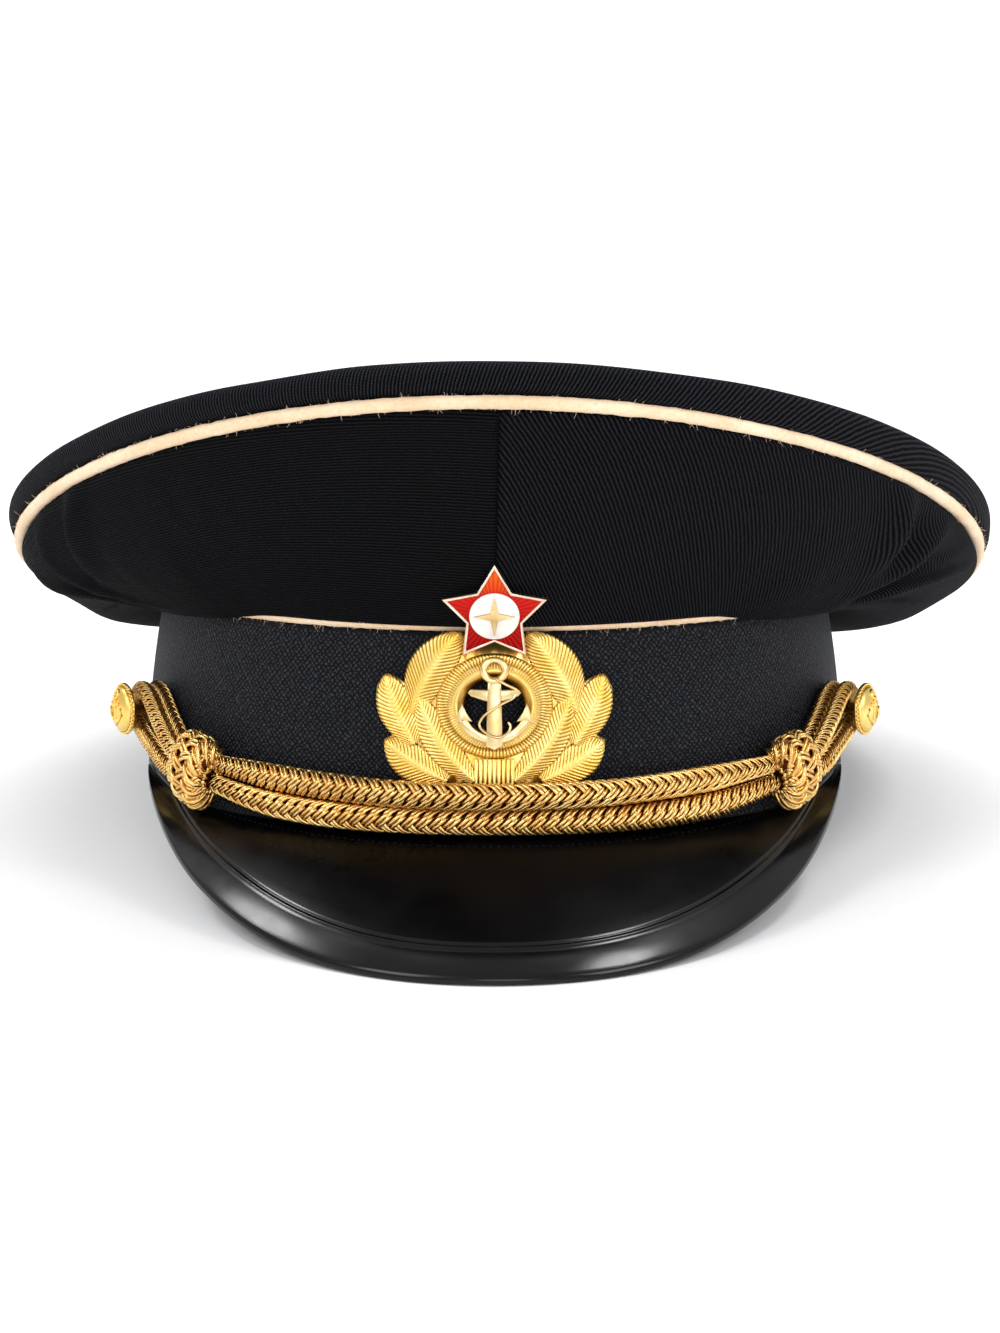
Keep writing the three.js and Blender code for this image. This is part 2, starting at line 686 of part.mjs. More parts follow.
function makeAnchor() {
  const { lift, thick, shank, stock, arms, fluke, eye } = anchor;
  const base = badge.plate + badge.ring.lift + lift;
  const shankHalf = [
    [0, shank.top],
    [shank.head, shank.top],
    [shank.heel, shank.foot],
    [0, shank.foot - arms.toe],
  ];
  const stockHalf = [
    [0, stock.top],
    [stock.half, stock.top],
    [stock.half, stock.tip],
    [shank.heel, stock.root],
    [0, stock.root],
  ];
  const arc = (reach) =>
    anglesBetween(-arms.sweep, arms.sweep, 13).map((turn) => [
      reach * Math.sin(turn),
      arms.middle - reach * Math.cos(turn),
    ]);
  const flukeOn = (side) => [fluke.tip, fluke.heel, fluke.barb].map(([x, y]) => [side * x, y]);
  const crescent = [...arc(arms.outer), ...arc(arms.inner).reverse()];
  const ring = new THREE.TorusGeometry(eye.radius, eye.wire, 6, 14).translate(0, eye.up, base + thick / 2);
  let body = asManifold(plateOf(mirrorAcross(shankHalf), thick + shank.proud, base));
  for (const shape of [mirrorAcross(stockHalf), crescent, flukeOn(1), flukeOn(-1)]) {
    body = body.add(asManifold(plateOf(shape, thick, base)));
  }
  return onBadge(asGeometry(body.add(asManifold(ring))));
}

// The corners of a pointed star, drawn in by an inset.
function starCorners(points, radius, waist, inset = 0) {
  const step = Math.PI / points;
  const edge = Math.hypot(waist * Math.sin(step), radius - waist * Math.cos(step));
  const scale = 1 - (inset * edge) / (radius * waist * Math.sin(step));
  return Array.from({ length: 2 * points }, (_, k) => {
    const reach = (k % 2 ? waist : radius) * scale;
    return [-reach * Math.sin(k * step), reach * Math.cos(k * step)];
  });
}

function onStar(geometry) {
  const lowest = star.radius * Math.cos(Math.PI / star.points);
  const off = badge.plate + badge.relief + star.seat + lowest * Math.sin(star.lean);
  return onBadge(geometry, { up: star.up, off, lean: star.lean, bend: 1e4 });
}

const starPlate = (inset, thick, lift) =>
  plateOf(starCorners(star.points, star.radius, star.waist, inset), thick, lift);

function makeStar() {
  const plate = asManifold(starPlate(0, star.plate, 0));
  return onStar(asGeometry(plate.subtract(asManifold(starPlate(star.frame, 1, star.plate - star.bed)))));
}

function makeEnamel() {
  const bed = star.plate - star.bed + enamel.bedGap;
  return onStar(starPlate(star.frame + enamel.gap, enamel.thick, bed));
}

function makeDisc() {
  const round = new THREE.CylinderGeometry(disc.radius, disc.radius, disc.thick, 24).rotateX(Math.PI / 2);
  return onStar(round.translate(0, 0, star.plate + disc.gap + disc.thick / 2));
}

function makeRose() {
  const base = star.plate + disc.gap + disc.thick + rose.gap;
  return onStar(plateOf(starCorners(rose.points, rose.radius, rose.waist), rose.thick, base));
}

// Materials

const material = (color, roughness, metalness = 0) =>
  new THREE.MeshStandardMaterial({ color, roughness, metalness });
const twill = material(0x101114, 0.85);
const ribbed = material(0x1b1c22, 0.8);
const creamFelt = material(0xf3cfa0, 0.9);
const lacquer = material(0x08080a, 0.12);
const goldBraid = material(0xd9a441, 0.35, 1);
const giltBrass = material(0xe9bf4f, 0.3, 1);
const paleGilt = material(0xf2d79a, 0.25, 1);
const redEnamel = material(0xc8141a, 0.15);
const whiteEnamel = material(0xf6f0ea, 0.2);

// Assembly

const cap = new THREE.Group();

function piece(name, geometry, finish) {
  const mesh = new THREE.Mesh(geometry, finish);
  mesh.name = name;
  cap.add(mesh);
}

// The ground touches the visor's edge and presses the rear hem a little flat.
const { geometry: visorGeometry, edge: visorEdge } = makeVisor();
const hem = at(0, band.foot[1], band.press);
const tilt = Math.max(...visorEdge.map((p) => Math.atan2(hem.z - p.z, hem.y - p.y)));
const ground = new THREE.BoxGeometry(400, 400, 60)
  .translate(0, 0, -30)
  .rotateX(tilt)
  .translate(0, hem.y, hem.z);

piece("band", asGeometry(asManifold(makeBand()).subtract(asManifold(ground))), ribbed);
piece("band_piping", makePiping(bandPipingAt, bandPiping.radius), creamFelt);
piece("crown_piping", makePiping(crownPipingAt, crownPiping.radius), creamFelt);
piece("crown_top", cloth(topSurface, fullTurn(48), topSteps, true), twill);
for (const [name, from] of [["right", -180], ["left", 0]]) {
  const angles = anglesBetween(from + seamHalf, from + 180 - seamHalf, 33);
  piece(`crown_side_${name}`, cloth(sideSurface, angles, sideSteps, false), twill);
}
piece("visor", visorGeometry, lacquer);
piece("chin_cord", sweep(chinRoute, true, 76, 0), goldBraid);
for (const [name, side] of [["right", -1], ["left", 1]]) {
  piece(`end_loop_${name}`, endLoop(side), goldBraid);
  piece(`knot_${name}`, makeKnot(side), goldBraid);
  piece(`button_${name}`, makeButton(side), giltBrass);
}
piece("badge_wreath", makeWreath(), giltBrass);
piece("badge_anchor", makeAnchor(), paleGilt);
piece("badge_star", makeStar(), paleGilt);
piece("badge_enamel", makeEnamel(), redEnamel);
piece("badge_disc", makeDisc(), whiteEnamel);
piece("badge_rose", makeRose(), paleGilt);

// Set the cap down: its lowest point on z = 0 and its box centred on the origin.
cap.rotation.x = -tilt;
cap.updateMatrixWorld(true);
const box = new THREE.Box3().setFromObject(cap, true);
cap.position.set(-(box.min.x + box.max.x) / 2, -(box.min.y + box.max.y) / 2, -box.min.z);

export default cap;
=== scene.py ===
import math
import random
import bmesh
import bpy
from mathutils import Matrix, Vector, noise
from mathutils.geometry import interpolate_bezier


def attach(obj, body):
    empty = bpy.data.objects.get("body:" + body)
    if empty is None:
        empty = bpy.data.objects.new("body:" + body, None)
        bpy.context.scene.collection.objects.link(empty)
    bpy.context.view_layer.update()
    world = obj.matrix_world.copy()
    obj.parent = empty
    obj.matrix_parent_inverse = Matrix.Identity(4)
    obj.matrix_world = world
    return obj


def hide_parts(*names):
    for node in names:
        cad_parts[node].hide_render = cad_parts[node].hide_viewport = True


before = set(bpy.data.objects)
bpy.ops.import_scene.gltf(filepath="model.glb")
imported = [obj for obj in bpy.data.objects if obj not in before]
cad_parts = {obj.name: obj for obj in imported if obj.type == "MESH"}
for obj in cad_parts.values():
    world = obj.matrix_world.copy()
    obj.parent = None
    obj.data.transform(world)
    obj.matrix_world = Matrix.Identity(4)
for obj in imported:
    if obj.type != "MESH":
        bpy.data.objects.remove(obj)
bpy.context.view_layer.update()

# A naval officer's cap. Places are worked out in millimetres in the cap's own frame: the origin is the
# middle of the band's lower edge, Z runs up the band and the front faces -Y. toRow then tips the cap back
# onto the visor's edge and turns millimetres into metres.
capTilt = math.radians(6.246366654)
capShift = Vector((-1.200409, 1.840285, 11.35319))
toRow = Matrix.Scale(0.001, 4) @ Matrix.Translation(capShift) @ Matrix.Rotation(-capTilt, 4, "X")
random.seed(7)


def mix(a, b, share):
    return a + (b - a) * share


def smooth(value, low, high):
    s = min(max((value - low) / (high - low), 0), 1)
    return s * s * (3 - 2 * s)


def hump(value, middle, width):
    return math.exp(-(((value - middle) / width) ** 2))


def asRows(names, *values):
    return [dict(zip(names.split(), row)) for row in values]


# A table's column at any place between its rows, on a smooth curve through them.
def readTable(rows, key, column, place):
    k = next((i - 1 for i, row in enumerate(rows) if row[key] > place), len(rows) - 2)
    k = max(k, 0)
    before, a, b, after = [rows[min(max(i, 0), len(rows) - 1)] for i in (k - 1, k, k + 1, k + 2)]
    span = b[key] - a[key]
    slope = lambda p, q: span * (q[column] - p[column]) / (q[key] - p[key])
    s = min(max((place - a[key]) / span, 0), 1)
    return (mix(a[column], b[column], s * s * (3 - 2 * s))
            + s * (1 - s) ** 2 * slope(before, b) - s * s * (1 - s) * slope(a, after))


def outline(half, angle):
    return Vector((half[0] * math.sin(angle), -half[1] * math.cos(angle), 0))


def outward(half, angle):
    return Vector((math.sin(angle) / half[0], -math.cos(angle) / half[1], 0)).normalized()


def showPiece(obj, slotName, *nodes):
    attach(obj, "root")
    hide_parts(*nodes)
    return obj


def newPiece(name, bm, *materials):
    mesh = bpy.data.meshes.new(name)
    bm.to_mesh(mesh)
    bm.free()
    for material in materials:
        mesh.materials.append(material)
    mesh.shade_smooth()
    obj = bpy.data.objects.new(name, mesh)
    bpy.context.scene.collection.objects.link(obj)
    return obj


# A grid whose points are moved to placeAt(across, along), both 0..1. Its UV map is in millimetres, and
# shadeAt says how deep in a groove each point lies, for the painted shade in the metals' grooves.
def gridOf(placeAt, columns, rows, size=(1, 1), shadeAt=None):
    bm = bmesh.new()
    uv = bm.loops.layers.uv.verify()
    shade = bm.verts.layers.float.new("shade")
    bmesh.ops.create_grid(bm, x_segments=columns, y_segments=rows, size=0.5)
    for face in bm.faces:
        for loop in face.loops:
            loop[uv].uv = ((loop.vert.co.x + 0.5) * size[0], (loop.vert.co.y + 0.5) * size[1])
    for vert in bm.verts:
        across, along = vert.co.x + 0.5, vert.co.y + 0.5
        vert[shade] = shadeAt(across, along) if shadeAt else 0.0
        vert.co = placeAt(across, along)
    bmesh.ops.remove_doubles(bm, verts=bm.verts, dist=1e-4)
    return bm


def closeEnds(bm):
    bmesh.ops.holes_fill(bm, edges=[edge for edge in bm.edges if edge.is_boundary])
    return bm


def closeUp(bm):
    bmesh.ops.recalc_face_normals(bm, faces=bm.faces)
    bmesh.ops.transform(bm, matrix=toRow, verts=bm.verts)
    return bm


# One piece from several bodies, given as pairs of (body, place in the piece's material list).
def joinPieces(name, bodies, *materials):
    whole = bmesh.new()
    whole.loops.layers.uv.verify()
    whole.verts.layers.float.new("shade")
    for body, index in bodies:
        mesh = bpy.data.meshes.new(name)
        body.to_mesh(mesh)
        body.free()
        first = len(whole.faces)
        whole.from_mesh(mesh)
        bpy.data.meshes.remove(mesh)
        whole.faces.ensure_lookup_table()
        for face in whole.faces[first:]:
            face.material_index = index
    return newPiece(name, whole, *materials)


# Many wires as one body: each line is a list of (place in millimetres, share of the radius).
def wiresOf(lines, radius, sides, closed=False):
    curve = bpy.data.curves.new("wires", "CURVE")
    curve.dimensions = "3D"
    curve.bevel_depth = radius
    curve.bevel_resolution = (sides - 4) // 2
    curve.use_fill_caps = not closed
    for line in lines:
        spline = curve.splines.new("POLY")
        spline.points.add(len(line) - 1)
        spline.use_cyclic_u = closed
        for point, (place, share) in zip(spline.points, line):
            point.co = (*place, 1)
            point.radius = share
    loose = bpy.data.objects.new("wires", curve)
    bpy.context.scene.collection.objects.link(loose)
    bpy.context.view_layer.update()
    graph = bpy.context.evaluated_depsgraph_get()
    mesh = bpy.data.meshes.new_from_object(loose.evaluated_get(graph))
    bpy.data.objects.remove(loose)
    bm = bmesh.new()
    bm.from_mesh(mesh)
    bmesh.ops.remove_doubles(bm, verts=bm.verts, dist=1e-4)
    return closeUp(bm)


# One function adds a node with its settings and links.
def addNode(material, kind, settings=None, **links):
    node = material.node_tree.nodes.new(kind)
    for key, value in (settings or {}).items():
        if isinstance(key, str) and hasattr(node, key):
            setattr(node, key, value)
        else:
            node.inputs[key].default_value = value
    for key, source in links.items():
        target = node.inputs[int(key[1:])] if key[1:].isdigit() else node.inputs[key]
        material.node_tree.links.new(source, target)
    return node


def linear(hexCode):
    parts = [int(hexCode[i:i + 2], 16) / 255 for i in (1, 3, 5)]
    return [*(c / 12.92 if c <= 0.04045 else ((c + 0.055) / 1.055) ** 2.4 for c in parts), 1]


def newMaterial(name, **settings):
    material = bpy.data.materials.new(name)
    material.use_nodes = True
    shader = material.node_tree.nodes["Principled BSDF"]
    for key, value in settings.items():
        shader.inputs[key.replace("_", " ")].default_value = value
    return material, shader


def feedShader(material, shader, **sources):
    for key, source in sources.items():
        material.node_tree.links.new(source, shader.inputs[key.replace("_", " ")])
    return material


def setColours(ramp, *stops):
    ramp = ramp.color_ramp
    while len(ramp.elements) < len(stops):
        ramp.elements.new(0.5)
    for element, (place, code) in zip(ramp.elements, stops):
        element.position, element.color = place, linear(code)


waveScale = 2 * math.pi / 20  # a wave texture of this scale repeats once a millimetre on the UV maps


# Wool twill: combed yarn woven in steep ribs, piece-dyed blue-black. The ribs are painted lighter than the
# hollows, a painted highlight, and loose fibre gives the cloth a soft grey edge. ribAngle turns the ribs on
# each panel, as it was cut, and ribPitch is their spacing in millimetres, drawn as coarse as the ribs need
# to show. lit is the painted colour of the lit rib tops, set for each panel by how brightly it is lit.
def woolTwill(name, ribAngle, ribPitch, lit):
    material, shader = newMaterial(name, Roughness=0.8, Sheen_Weight=0.04, Sheen_Roughness=0.3,
                                   Sheen_Tint=linear("#7C7E8A"), Specular_IOR_Level=0.05)
    place = addNode(material, "ShaderNodeTexCoord")
    turned = addNode(material, "ShaderNodeMapping", {"Rotation": (0, 0, math.radians(ribAngle))},
                     Vector=place.outputs["UV"])
    ribs = addNode(material, "ShaderNodeTexWave",
                   {"Scale": waveScale / ribPitch, "Distortion": 1.2, "Detail": 1.0, "Detail Scale": 1.6},
                   Vector=turned.outputs[0])
    yarn = addNode(material, "ShaderNodeTexWave",
                   {"bands_direction": "Y", "Scale": waveScale / 0.55, "Distortion": 2.0,
                    "Detail Scale": 2.0}, Vector=turned.outputs[0])
    fibre = addNode(material, "ShaderNodeTexNoise", {"Scale": 1.6, "Detail": 3.0, "Roughness": 0.7},
                    Vector=place.outputs["UV"])
    weave = addNode(material, "ShaderNodeMath", {"operation": "MULTIPLY_ADD", 1: 0.3},
                    _0=yarn.outputs["Fac"], _2=ribs.outputs["Fac"])
    relief = addNode(material, "ShaderNodeMath", {"operation": "MULTIPLY_ADD", 1: 0.9},
                     _0=fibre.outputs["Fac"], _2=weave.outputs[0])
    level = addNode(material, "ShaderNodeMath", {"operation": "MULTIPLY", 1: 0.55}, _0=relief.outputs[0])
    ramp = addNode(material, "ShaderNodeValToRGB", _0=level.outputs[0])
    # the ramp paints the rib tops up to the lit colour, a painted highlight
    setColours(ramp, (0.48, "#010101"), (0.95, lit))
    bump = addNode(material, "ShaderNodeBump", {"Strength": 1.0, "Distance": 0.0005},
                   Height=relief.outputs[0])
    return feedShader(material, shader, Base_Color=ramp.outputs[0], Normal=bump.outputs[0])


# Ribbon band: a stiff black ribbon woven in small diamonds, whose knots stand up, shine a little and carry
# a painted highlight in a lighter colour. pitch is the diamonds' spacing in millimetres.
def diamondRibbon(pitch):
    material, shader = newMaterial("diamondRibbon", Roughness=0.6, Sheen_Weight=0.05, Sheen_Roughness=0.4,
                                   Sheen_Tint=linear("#7E8394"), Specular_IOR_Level=0.12)
    place = addNode(material, "ShaderNodeTexCoord")
    waves = []
    for turn in (46, -46):
        turned = addNode(material, "ShaderNodeMapping", {"Rotation": (0, 0, math.radians(turn))},
                         Vector=place.outputs["UV"])
        waves.append(addNode(material, "ShaderNodeTexWave",
                             {"bands_direction": "Y", "Scale": waveScale / pitch, "Distortion": 5.0,
                              "Detail": 2.0, "Detail Scale": 2.2}, Vector=turned.outputs[0]))
    knots = addNode(material, "ShaderNodeMath", {"operation": "MULTIPLY"},
                    _0=waves[0].outputs["Fac"], _1=waves[1].outputs["Fac"])
    fibre = addNode(material, "ShaderNodeTexNoise", {"Scale": 1.9, "Detail": 2.0},
                    Vector=place.outputs["UV"])
    relief = addNode(material, "ShaderNodeMath", {"operation": "MULTIPLY_ADD", 1: 0.8},
                     _0=fibre.outputs["Fac"], _2=knots.outputs[0])
    ramp = addNode(material, "ShaderNodeValToRGB", _0=relief.outputs[0])
    # the knots' lighter colour is a painted highlight
    setColours(ramp, (0.5, "#020203"), (1.0, "#33353D"))
    bump = addNode(material, "ShaderNodeBump", {"Strength": 0.8, "Distance": 0.0004},
                   Height=relief.outputs[0])
    return feedShader(material, shader, Base_Color=ramp.outputs[0], Normal=bump.outputs[0])


# Felt piping: pressed wool dyed cream, matt, with a nap that softens its edge. Object coordinates are in
# metres, so a noise of scale 900 has grains of about a millimetre.
def creamFelt():
    material, shader = newMaterial("creamFelt", Roughness=0.95, Sheen_Weight=0.5, Sheen_Roughness=0.6,
                                   Sheen_Tint=linear("#FFF3DC"), Specular_IOR_Level=0.2)
    place = addNode(material, "ShaderNodeTexCoord")
    nap = addNode(material, "ShaderNodeTexNoise", {"Scale": 900, "Detail": 4.0, "Roughness": 0.7},
                  Vector=place.outputs["Object"])
    shade = addNode(material, "ShaderNodeTexNoise", {"Scale": 60, "Detail": 2.0},
                    Vector=place.outputs["Object"])
    both = addNode(material, "ShaderNodeMath", {"operation": "ADD"},
                   _0=nap.outputs["Fac"], _1=shade.outputs["Fac"])
    half = addNode(material, "ShaderNodeMath", {"operation": "MULTIPLY", 1: 0.5}, _0=both.outputs[0])
    ramp = addNode(material, "ShaderNodeValToRGB", _0=half.outputs[0])
    setColours(ramp, (0.3, "#E7BB8F"), (0.7, "#FCE8CB"))
    bump = addNode(material, "ShaderNodeBump", {"Strength": 0.6, "Distance": 0.0003},
                   Height=nap.outputs["Fac"])
    return feedShader(material, shader, Base_Color=ramp.outputs[0], Normal=bump.outputs[0])


# Visor lacquer: black vulcanised board under polished lacquer, so it mirrors the lamps softly. The pressed
# rim is the same board with a satin finish.
def blackLacquer(name, roughness, base, coat, gloss, wearScale):
    material, shader = newMaterial(name, Coat_Weight=coat, Coat_Roughness=roughness * 0.6,
                                   Specular_IOR_Level=gloss)
    place = addNode(material, "ShaderNodeTexCoord")
    wear = addNode(material, "ShaderNodeTexNoise", {"Scale": wearScale, "Detail": 5.0, "Roughness": 0.6},
                   Vector=place.outputs["Object"])
    level = addNode(material, "ShaderNodeMapRange",
                    {"From Min": 0.35, "From Max": 0.7, "To Min": roughness * 0.8,
                     "To Max": roughness * 1.35}, Value=wear.outputs["Fac"])
    ramp = addNode(material, "ShaderNodeValToRGB", _0=wear.outputs["Fac"])
    setColours(ramp, (0.3, base[0]), (0.75, base[1]))
    grain = addNode(material, "ShaderNodeTexNoise", {"Scale": 700, "Detail": 2.0},
                    Vector=place.outputs["Object"])
    bump = addNode(material, "ShaderNodeBump", {"Strength": 0.04, "Distance": 0.0001},
                   Height=grain.outputs["Fac"])
    return feedShader(material, shader, Base_Color=ramp.outputs[0], Roughness=level.outputs[0],
                      Normal=bump.outputs[0])


# Metals: brass with a thin gilt layer. Stamped pieces are satin and a little uneven, wire is drawn bright,
# and both are painted a darker brown in the grooves, which the shade attribute marks: painted shade.
def giltMetal(name, bright, dull, roughness, grainScale, bumpStrength=0.12, deep="#7A4408"):
    material, shader = newMaterial(name, Metallic=1.0)
    place = addNode(material, "ShaderNodeTexCoord")
    tarnish = addNode(material, "ShaderNodeTexNoise", {"Scale": 180, "Detail": 4.0, "Roughness": 0.65},
                      Vector=place.outputs["Object"])
    grain = addNode(material, "ShaderNodeTexNoise", {"Scale": grainScale, "Detail": 3.0},
                    Vector=place.outputs["Object"])
    ramp = addNode(material, "ShaderNodeValToRGB", _0=tarnish.outputs["Fac"])
    setColours(ramp, (0.3, dull), (0.62, bright))
    # painted shade: the shade attribute mixes the deep colour in where the grooves lie in shadow
    groove = addNode(material, "ShaderNodeAttribute", {"attribute_name": "shade"})
    tone = addNode(material, "ShaderNodeMix", {"data_type": "RGBA", 7: linear(deep)},
                   _0=groove.outputs["Fac"], _6=ramp.outputs[0])
    level = addNode(material, "ShaderNodeMapRange",
                    {"From Min": 0.3, "From Max": 0.7, "To Min": roughness * 1.25,
                     "To Max": roughness * 0.8}, Value=tarnish.outputs["Fac"])
    bump = addNode(material, "ShaderNodeBump", {"Strength": bumpStrength, "Distance": 0.0002},
                   Height=grain.outputs["Fac"])
    return feedShader(material, shader, Base_Color=tone.outputs[2], Roughness=level.outputs[0],
                      Normal=bump.outputs[0])


# right and left are the wearer's
# The panels are one cloth: their lit colours are painted light, darkest on the right panel and lighter on
# the left and top
twillRight = woolTwill("woolTwillRightPanel", 93, 0.8, "#1C1D21")
twillLeft = woolTwill("woolTwillLeftPanel", -33, 1.1, "#27282F")
twillTop = woolTwill("woolTwillTop", 25, 0.85, "#2E2F36")
ribbon = diamondRibbon(1.1)
felt = creamFelt()
lacquer = blackLacquer("visorLacquer", 0.3, ("#010102", "#040406"), 0.0, 0.09, 30)
satinRim = blackLacquer("visorSatinRim", 0.2, ("#020203", "#060607"), 0.05, 0.26, 45)
goldWire = giltMetal("goldWire", "#F8D48A", "#DCA658", 0.3, 2500, 0.02)
# the cord's core is painted dark brown as the shade seen in the gaps between the wires
shadedGoldCore = giltMetal("goldCordCorePaintedShade", "#6A3214", "#3E1A08", 0.6, 1200)
# stampedGilt's deep colour is the painted shade in the wreath's veins and ring grooves
gilt = giltMetal("stampedGilt", "#FFE08C", "#F4C755", 0.34, 1500, 0.08, "#A06A14")
paleGilt = giltMetal("paleGilt", "#F0D8A2", "#D9B271", 0.3, 1500, 0.05)
roseGilt = giltMetal("roseGilt", "#F2D8C4", "#DDBB9E", 0.25, 1500, 0.05)
thread = woolTwill("visorThread", 0, 1.05, "#292A30")
print("materials ready")


# The band: a stiff ring covered with ribbon
band = {"height": 47.6, "foot": (89.6, 108), "head": (85, 103), "wall": 3.0, "edge": 0.9, "belly": 1.3,
        "columns": 300, "rowsUp": 14, "map": (620.0, 110.0)}


def onBand(angle, height, off):
    share = height / band["height"]
    bulge = band["belly"] * 4 * share * (1 - share)
    half = [mix(foot, head, share) + bulge for foot, head in zip(band["foot"], band["head"])]
    place = outline(half, angle) + outward(half, angle) * off
    place.z = height
    return place


def bandSection():
    edge, height, wall = band["edge"], band["height"], band["wall"]
    turns = [math.radians(18 * k) for k in range(6)]
    lower = [(edge * (1 - math.sin(a)), edge * (math.cos(a) - 1)) for a in turns]
    middle = [(mix(edge, height - edge, k / band["rowsUp"]), 0.0) for k in range(1, band["rowsUp"])]
    upper = [(height - up, off) for up, off in lower]
    inner = [(mix(height, 0, k / 6), -wall) for k in range(7)]
    return list(reversed(lower)) + middle + upper + inner


section = bandSection()


def bandPlace(across, along):
    spot = along * len(section)
    k = int(spot) % len(section)
    a, b = section[k], section[(k + 1) % len(section)]
    part = spot - int(spot)
    return onBand(2 * math.pi * across, mix(a[0], b[0], part), mix(a[1], b[1], part))


bm = gridOf(bandPlace, band["columns"], len(section), band["map"])
closeUp(bm)
for vert in bm.verts:  # the rear hem rests on the ground and is pressed flat
    vert.co.z = max(vert.co.z, 0)
bandPiece = showPiece(newPiece("bandRibbon", bm, ribbon), "band_ribbon", "band")
print("band done")

# The crown: a top cloth rolled over the hoop and two side cloths
crown = {"half": (123.4, 137), "middle": (1.2, 4), "waves": (60.0, 39.0, 5.1, -0.7), "lean": 1.3,
         "slope": math.radians(17), "dome": 8.0, "cloth": 1.5}
crownUp = Vector((0, math.sin(crown["slope"]), math.cos(crown["slope"])))


def onCrown(angle, share, out, up):
    mean, tilt, saddle, shoulder = crown["waves"]
    height = (mean + share * tilt * math.cos(angle) + share ** 2 * saddle * math.cos(2 * angle)
              + share ** 3 * shoulder * math.cos(3 * angle) - share * crown["lean"] * math.sin(angle))
    flat = outward(crown["half"], angle)
    away = (flat - crownUp * flat.dot(crownUp)).normalized()
    middle = Vector((*crown["middle"], height))
    return outline(crown["half"], angle) * share + middle + away * out + crownUp * up


# The top cloth rolls over the rim by these steps and then runs in to the middle by shares of the way.
rimRoll = asRows("out up", (-0.7, 2.5), (1.6, 3.5), (2.4, 6.2), (1.2, 8.2), (-2.2, 9.2), (-7.0, 9.4))
topRows = [{"place": k, "share": 1.0, **row} for k, row in enumerate(rimRoll)]
topRows += [{"place": len(rimRoll) + k, "share": share, "out": 0.0, "up": rimRoll[-1]["up"]}
            for k, share in enumerate((0.8, 0.5, 0.2, 0))]
topSteps, rollSteps = len(topRows) - 1, len(rimRoll) - 1
topCloth = {"columns": 260, "rows": 60, "rimGain": 0.1, "overlap": 1.3, "lapOut": 0.6, "wave": 0.8,
            "waveSize": 0.035}


def rollLength(start):
    steps = zip(rimRoll[start:], rimRoll[start + 1:])
    return sum(math.dist((a["out"], a["up"]), (b["out"], b["up"])) for a, b in steps)


rollRows = [{"place": k, "arc": rollLength(k)} for k in range(len(rimRoll))]


def topPlace(across, along):
    angle = 2 * math.pi * across
    step = topSteps * along
    share, out, up = [readTable(topRows, "place", column, step) for column in ("share", "out", "up")]
    gain = 1 + topCloth["rimGain"] * math.sin(angle) * (1 + math.sin(angle))
    dome = crown["dome"] * (1 - share ** 2) * (1 - share * math.cos(angle)) ** 2
    lap = topCloth["overlap"] * smooth(math.sin(angle), 0.05, 0.55) * hump(step, 0.4, 0.9)
    place = onCrown(angle, share, out + topCloth["lapOut"] * lap,
                    up * mix(1, gain, share ** 4) + dome - lap)
    wave = noise.noise(place * topCloth["waveSize"]) * topCloth["wave"] * smooth(along, 0.2, 0.5)
    return place + crownUp * wave


def crownPiece(name, bm, material, node):
    obj = newPiece(name, closeUp(bm), material)
    wall = obj.modifiers.new("cloth", "SOLIDIFY")
    wall.thickness, wall.offset = crown["cloth"] / 1000, 0
    return showPiece(obj, "crown_twill", node)


bm = gridOf(topPlace, topCloth["columns"], topCloth["rows"])
uv = bm.loops.layers.uv.verify()
topMiddle = topPlace(0, 1)
flatPlaces = {}
for face in bm.faces:  # the weave runs straight over the top and down the roll, so its map is laid out flat
    for loop in face.loops:
        if loop.vert not in flatPlaces:
            across, along = loop[uv].uv
            start = max(along, rollSteps / topSteps)
            spot = topPlace(across, start) - topMiddle
            reach = spot.length
            if start > along:
                reach += readTable(rollRows, "place", "arc", topSteps * along)
            spot.z = 0
            flatPlaces[loop.vert] = spot.normalized().xy * reach
        loop[uv].uv = flatPlaces[loop.vert]
topPiece = crownPiece("crownTopCloth", bm, twillTop, "crown_top")

# Each side cloth's curve from the band to the crown seam: the slopes and lengths of its two ends.
sideDrape = asRows(
    "angle rise foot fall hang drop",
    (0, 66, 14, 63, 16, -0.4), (25, 60, 14, 66, 15, -0.7), (38, 48, 14, 69, 15, -0.6),
    (48, 30, 13, 69, 15, 1.5), (62, 8, 12, 66, 14, 3.0), (78, -8, 11, 52, 12, 3.6),
    (105, -60, 20, 28, 13, 4.4), (140, -60, 22, 14, 17, 4.6), (180, -40, 16, -20, 13, 3.6))
# Each fold is a ridge or a valley that fans from the band's corner to the crown seam: the angles are its
# places at the band, halfway and at the seam.
folds = asRows(
    "low middle high width height start end",
    (60, 58, 52, 2.4, 4.2, 0.3, 1.05), (60, 58.5, 57, 2.2, -3.2, 0.25, 1.0),
    (59, 59, 64, 2.4, 4.8, 0.1, 1.0), (57, 64, 72, 2.6, -4.0, 0.1, 0.98),
    (55, 70, 84, 2.8, 4.6, 0.08, 0.95), (58, 82, 98, 3.6, -3.0, 0.05, 0.85),
    (66, 98, 118, 7.0, 0.8, 0.05, 0.85), (150, 148, 146, 9.0, -1.1, 0.1, 0.8),
    (-80, -64, -56.5, 2.4, 4.0, 0.3, 1.05), (-66, -70, -61, 2.2, -3.2, 0.25, 1.0),
    (-50, -86, -66, 2.4, 4.4, 0.1, 1.0), (-54, -92, -74, 2.6, -3.6, 0.1, 0.97),
    (-56, -98, -84, 2.8, 4.2, 0.08, 0.95), (-60, -108, -98, 3.6, -2.8, 0.05, 0.85),
    (-70, -120, -112, 7.0, 0.7, 0.05, 0.85), (-158, -159, -160, 9.0, -1.0, 0.1, 0.8))
